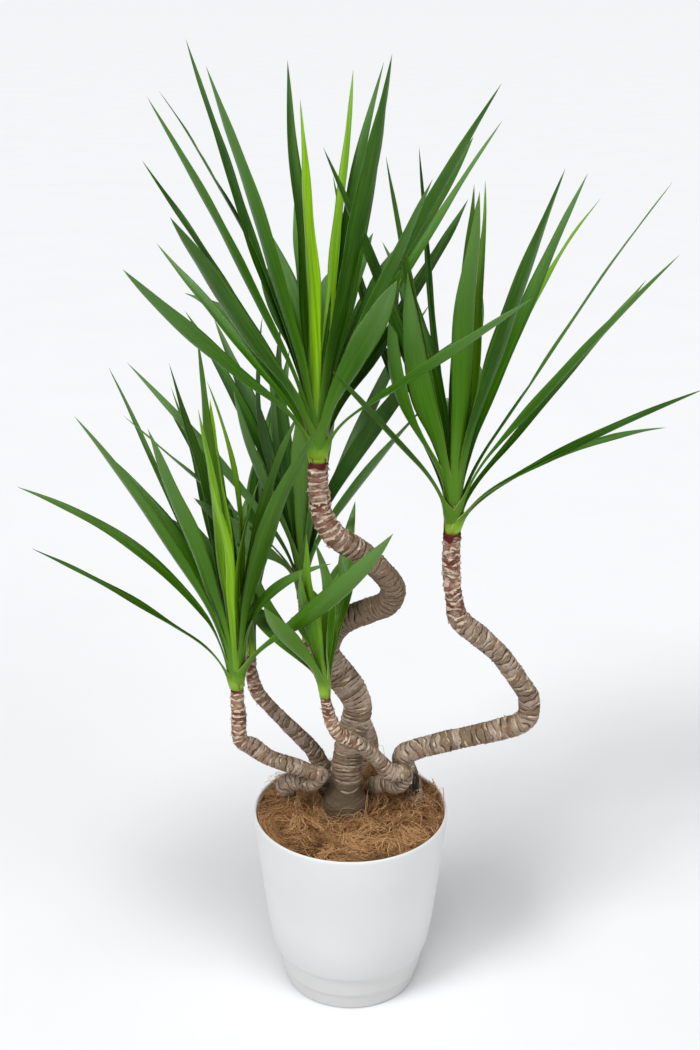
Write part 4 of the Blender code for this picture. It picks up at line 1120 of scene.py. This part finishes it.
def make_fibres(name, locks, each, lengths, radii, lift, tints, seed, round_canes, material):
    """Loose coconut fibres: locks of thin curved strands over the bed, or curled round the canes' feet."""
    draw = np.random.default_rng(seed)
    size = (locks * each, 1)
    radius = (COIR_RADIUS - 0.004) * np.sqrt(draw.uniform(0, 1, locks))
    turn = draw.uniform(0, 2 * math.pi, locks)
    x, y = radius * np.cos(turn), radius * np.sin(turn)
    way = 2.2 * np.sin(31 * x + 1.7 * np.sin(27 * y + 0.5))
    way = way + 2 * np.cos(29 * y + 1.2 * np.sin(36 * x)) + draw.normal(0, 0.8, locks)
    if round_canes:
        which = draw.choice(len(CANE_FEET), locks, p=CANE_FEET[:, 3] / CANE_FEET[:, 3].sum())
        foot_x, foot_y, _, thick = CANE_FEET[which].T
        away = thick + draw.uniform(0, 0.01, locks)
        x, y = foot_x + away * np.cos(turn), foot_y + away * np.sin(turn)
        way = turn + math.pi / 2 + draw.normal(0, 0.5, locks)
    curl = draw.normal(0, 1, locks) * 42
    wave = draw.uniform(0.3, 1.3, locks)
    phase = draw.uniform(0, 2 * math.pi, locks)
    rise = draw.uniform(0, 1, locks) ** 1.6
    tint = draw.uniform(*tints, locks)
    length = draw.uniform(*lengths, locks)

    # Every fibre of a lock shares its course, with a little of its own
    x, y, way, curl, wave, phase, rise, tint, length = [
        np.repeat(value, each)[:, None] for value in (x, y, way, curl, wave, phase, rise, tint, length)]
    x = x + draw.normal(0, LOCK_SPREAD, size)
    y = y + draw.normal(0, LOCK_SPREAD, size)
    way = way + draw.normal(0, 0.3, size)
    curl = curl + draw.normal(0, 11, size)
    rise = np.clip(rise + draw.normal(0, 0.16, size), 0, 1.2)
    tint = np.clip(tint + draw.normal(0, 0.16, size), 0, 1)
    length = length * draw.uniform(0.6, 1.15, size)
    t = np.linspace(-0.5, 0.5, LOCK_STEPS)[None, :]
    heading = way + curl * length * t + wave * np.sin(7 * t + phase)
    step = length / (LOCK_STEPS - 1)
    px = x + np.cumsum(np.cos(heading) * step, axis=1) - length * 0.5 * np.cos(way)
    py = y + np.cumsum(np.sin(heading) * step, axis=1) - length * 0.5 * np.sin(way)

    # The fibres stay inside the planter and outside the canes
    inside = np.minimum(1, (COIR_RADIUS - 0.0012) / np.maximum(np.hypot(px, py), 1e-6))
    px, py = px * inside, py * inside
    for cx, cy, _, thick in CANE_FEET:
        dx, dy = px - cx, py - cy
        away = np.maximum(np.hypot(dx, dy), 1e-5)
        push = np.maximum(1, (thick + 0.001) / away)
        px, py = cx + dx * push, cy + dy * push
    arch = 1 - (2 * t) ** 2
    tilt = draw.normal(0, 0.003, size) * 2 * t
    pz = coir_top(px, py) - 0.0025 + lift * rise * (0.35 + 0.65 * arch) + tilt

    # Each fibre is a thin tube with three sides
    centres = np.stack([px, py, pz], axis=-1)
    course = unit(np.gradient(centres, axis=1))
    beside = unit(np.cross(course, np.array([0, 0, 1])))
    above = np.cross(beside, course)
    taper = 1 - 0.6 * np.abs(2 * t) ** 3
    thin = (draw.uniform(*radii, size) * taper)[..., None]
    corners = []
    for k in range(3):
        angle = 2 * math.pi * k / 3 + 0.5
        corners.append(centres + thin * (math.cos(angle) * beside * 1.25 + math.sin(angle) * above * 0.8))
    points = np.stack(corners, axis=2)
    start = np.arange(locks * each)[:, None] * LOCK_STEPS * 3
    faces = (grid_faces(LOCK_STEPS, 3)[None, :, :] + start[:, :, None]).reshape(-1, 4).tolist()
    along = length * (t + 0.5)
    own = draw.uniform(0, 9, size)
    fields = {"place": layers(points.shape[:3], tint[..., None], along[..., None], own[..., None])}
    piece("coir_fibres_" + name, points.reshape(-1, 3), faces, material, fields, "coir_mulch")


def make_floor():
    """A wide pale floor under the planter."""
    mesh = bpy.data.meshes.new("floor")
    corners = [(FLOOR_REACH * x, FLOOR_REACH * y, 0) for x, y in ((-1, -1), (1, -1), (1, 1), (-1, 1))]
    mesh.from_pydata(corners, [], [(0, 1, 2, 3)])
    mesh.materials.append(floor_paint())
    floor = show("floor", mesh)


def make_light(name, tilt, turn, strength, width):
    """A soft far lamp that shines down and across the plant."""
    lamp = bpy.data.lights.new(name, "SUN")
    lamp.energy = strength
    lamp.angle = math.radians(width)
    show(name, lamp).rotation_euler = (math.radians(tilt), 0, math.radians(turn))


def make_studio():
    """Floor, soft light and the photograph's camera."""
    scene = bpy.context.scene
    make_floor()
    world = bpy.data.worlds.new("studio")
    world.use_nodes = True
    background = world.node_tree.nodes["Background"]
    background.inputs["Color"].default_value = WORLD_COLOUR
    background.inputs["Strength"].default_value = WORLD_STRENGTH
    scene.world = world
    for lamp in LAMPS:
        make_light(*lamp)
    camera = bpy.data.cameras.new("camera")
    camera.lens = CAMERA_LENS
    camera.sensor_width = CAMERA_SENSOR
    camera.clip_end = CAMERA_REACH
    viewer = show("camera", camera)
    viewer.location = CAMERA_PLACE
    viewer.rotation_euler = (math.radians(CAMERA_TILT), 0, 0)
    scene.camera = viewer
    scene.view_settings.view_transform = "Standard"


def make_plant():
    """Every piece of the plant and its planter."""
    leaf = leaf_paint("leaf", LEAF_GLOSS)
    fresh_leaf = leaf_paint("fresh_leaf", FRESH_GLOSS)
    bark = bark_paint()
    for number, (name, route, sides, leaves, core_radius, low, high) in enumerate(HEADS):
        make_cane("cane_" + name, route, sides, SKINS[name], BARK_SEED + number, bark)
        green = fresh_leaf if name in CROWN_FRESHNESS else leaf
        make_crown(name, route[-1][:3], leaves, core_radius, low, high, CROWN_SEED + number, green)
    make_planter(plastic_paint())
    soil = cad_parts["potting_soil"]
    soil.data.materials.clear()
    soil.data.materials.append(ground_paint("potting_mix", SOIL_DARK, SOIL_LIGHT, 220, 0.004))
    # Coir bed: dark coir and painted shadow under the loose fibres
    make_coir_bed(ground_paint("coir_mat", COIR_SHADOW, COIR_DARK, 420, 0.003))
    fibres = fibre_paint()
    for kind in FIBRES:
        make_fibres(*kind, fibres)


make_studio()
make_plant()
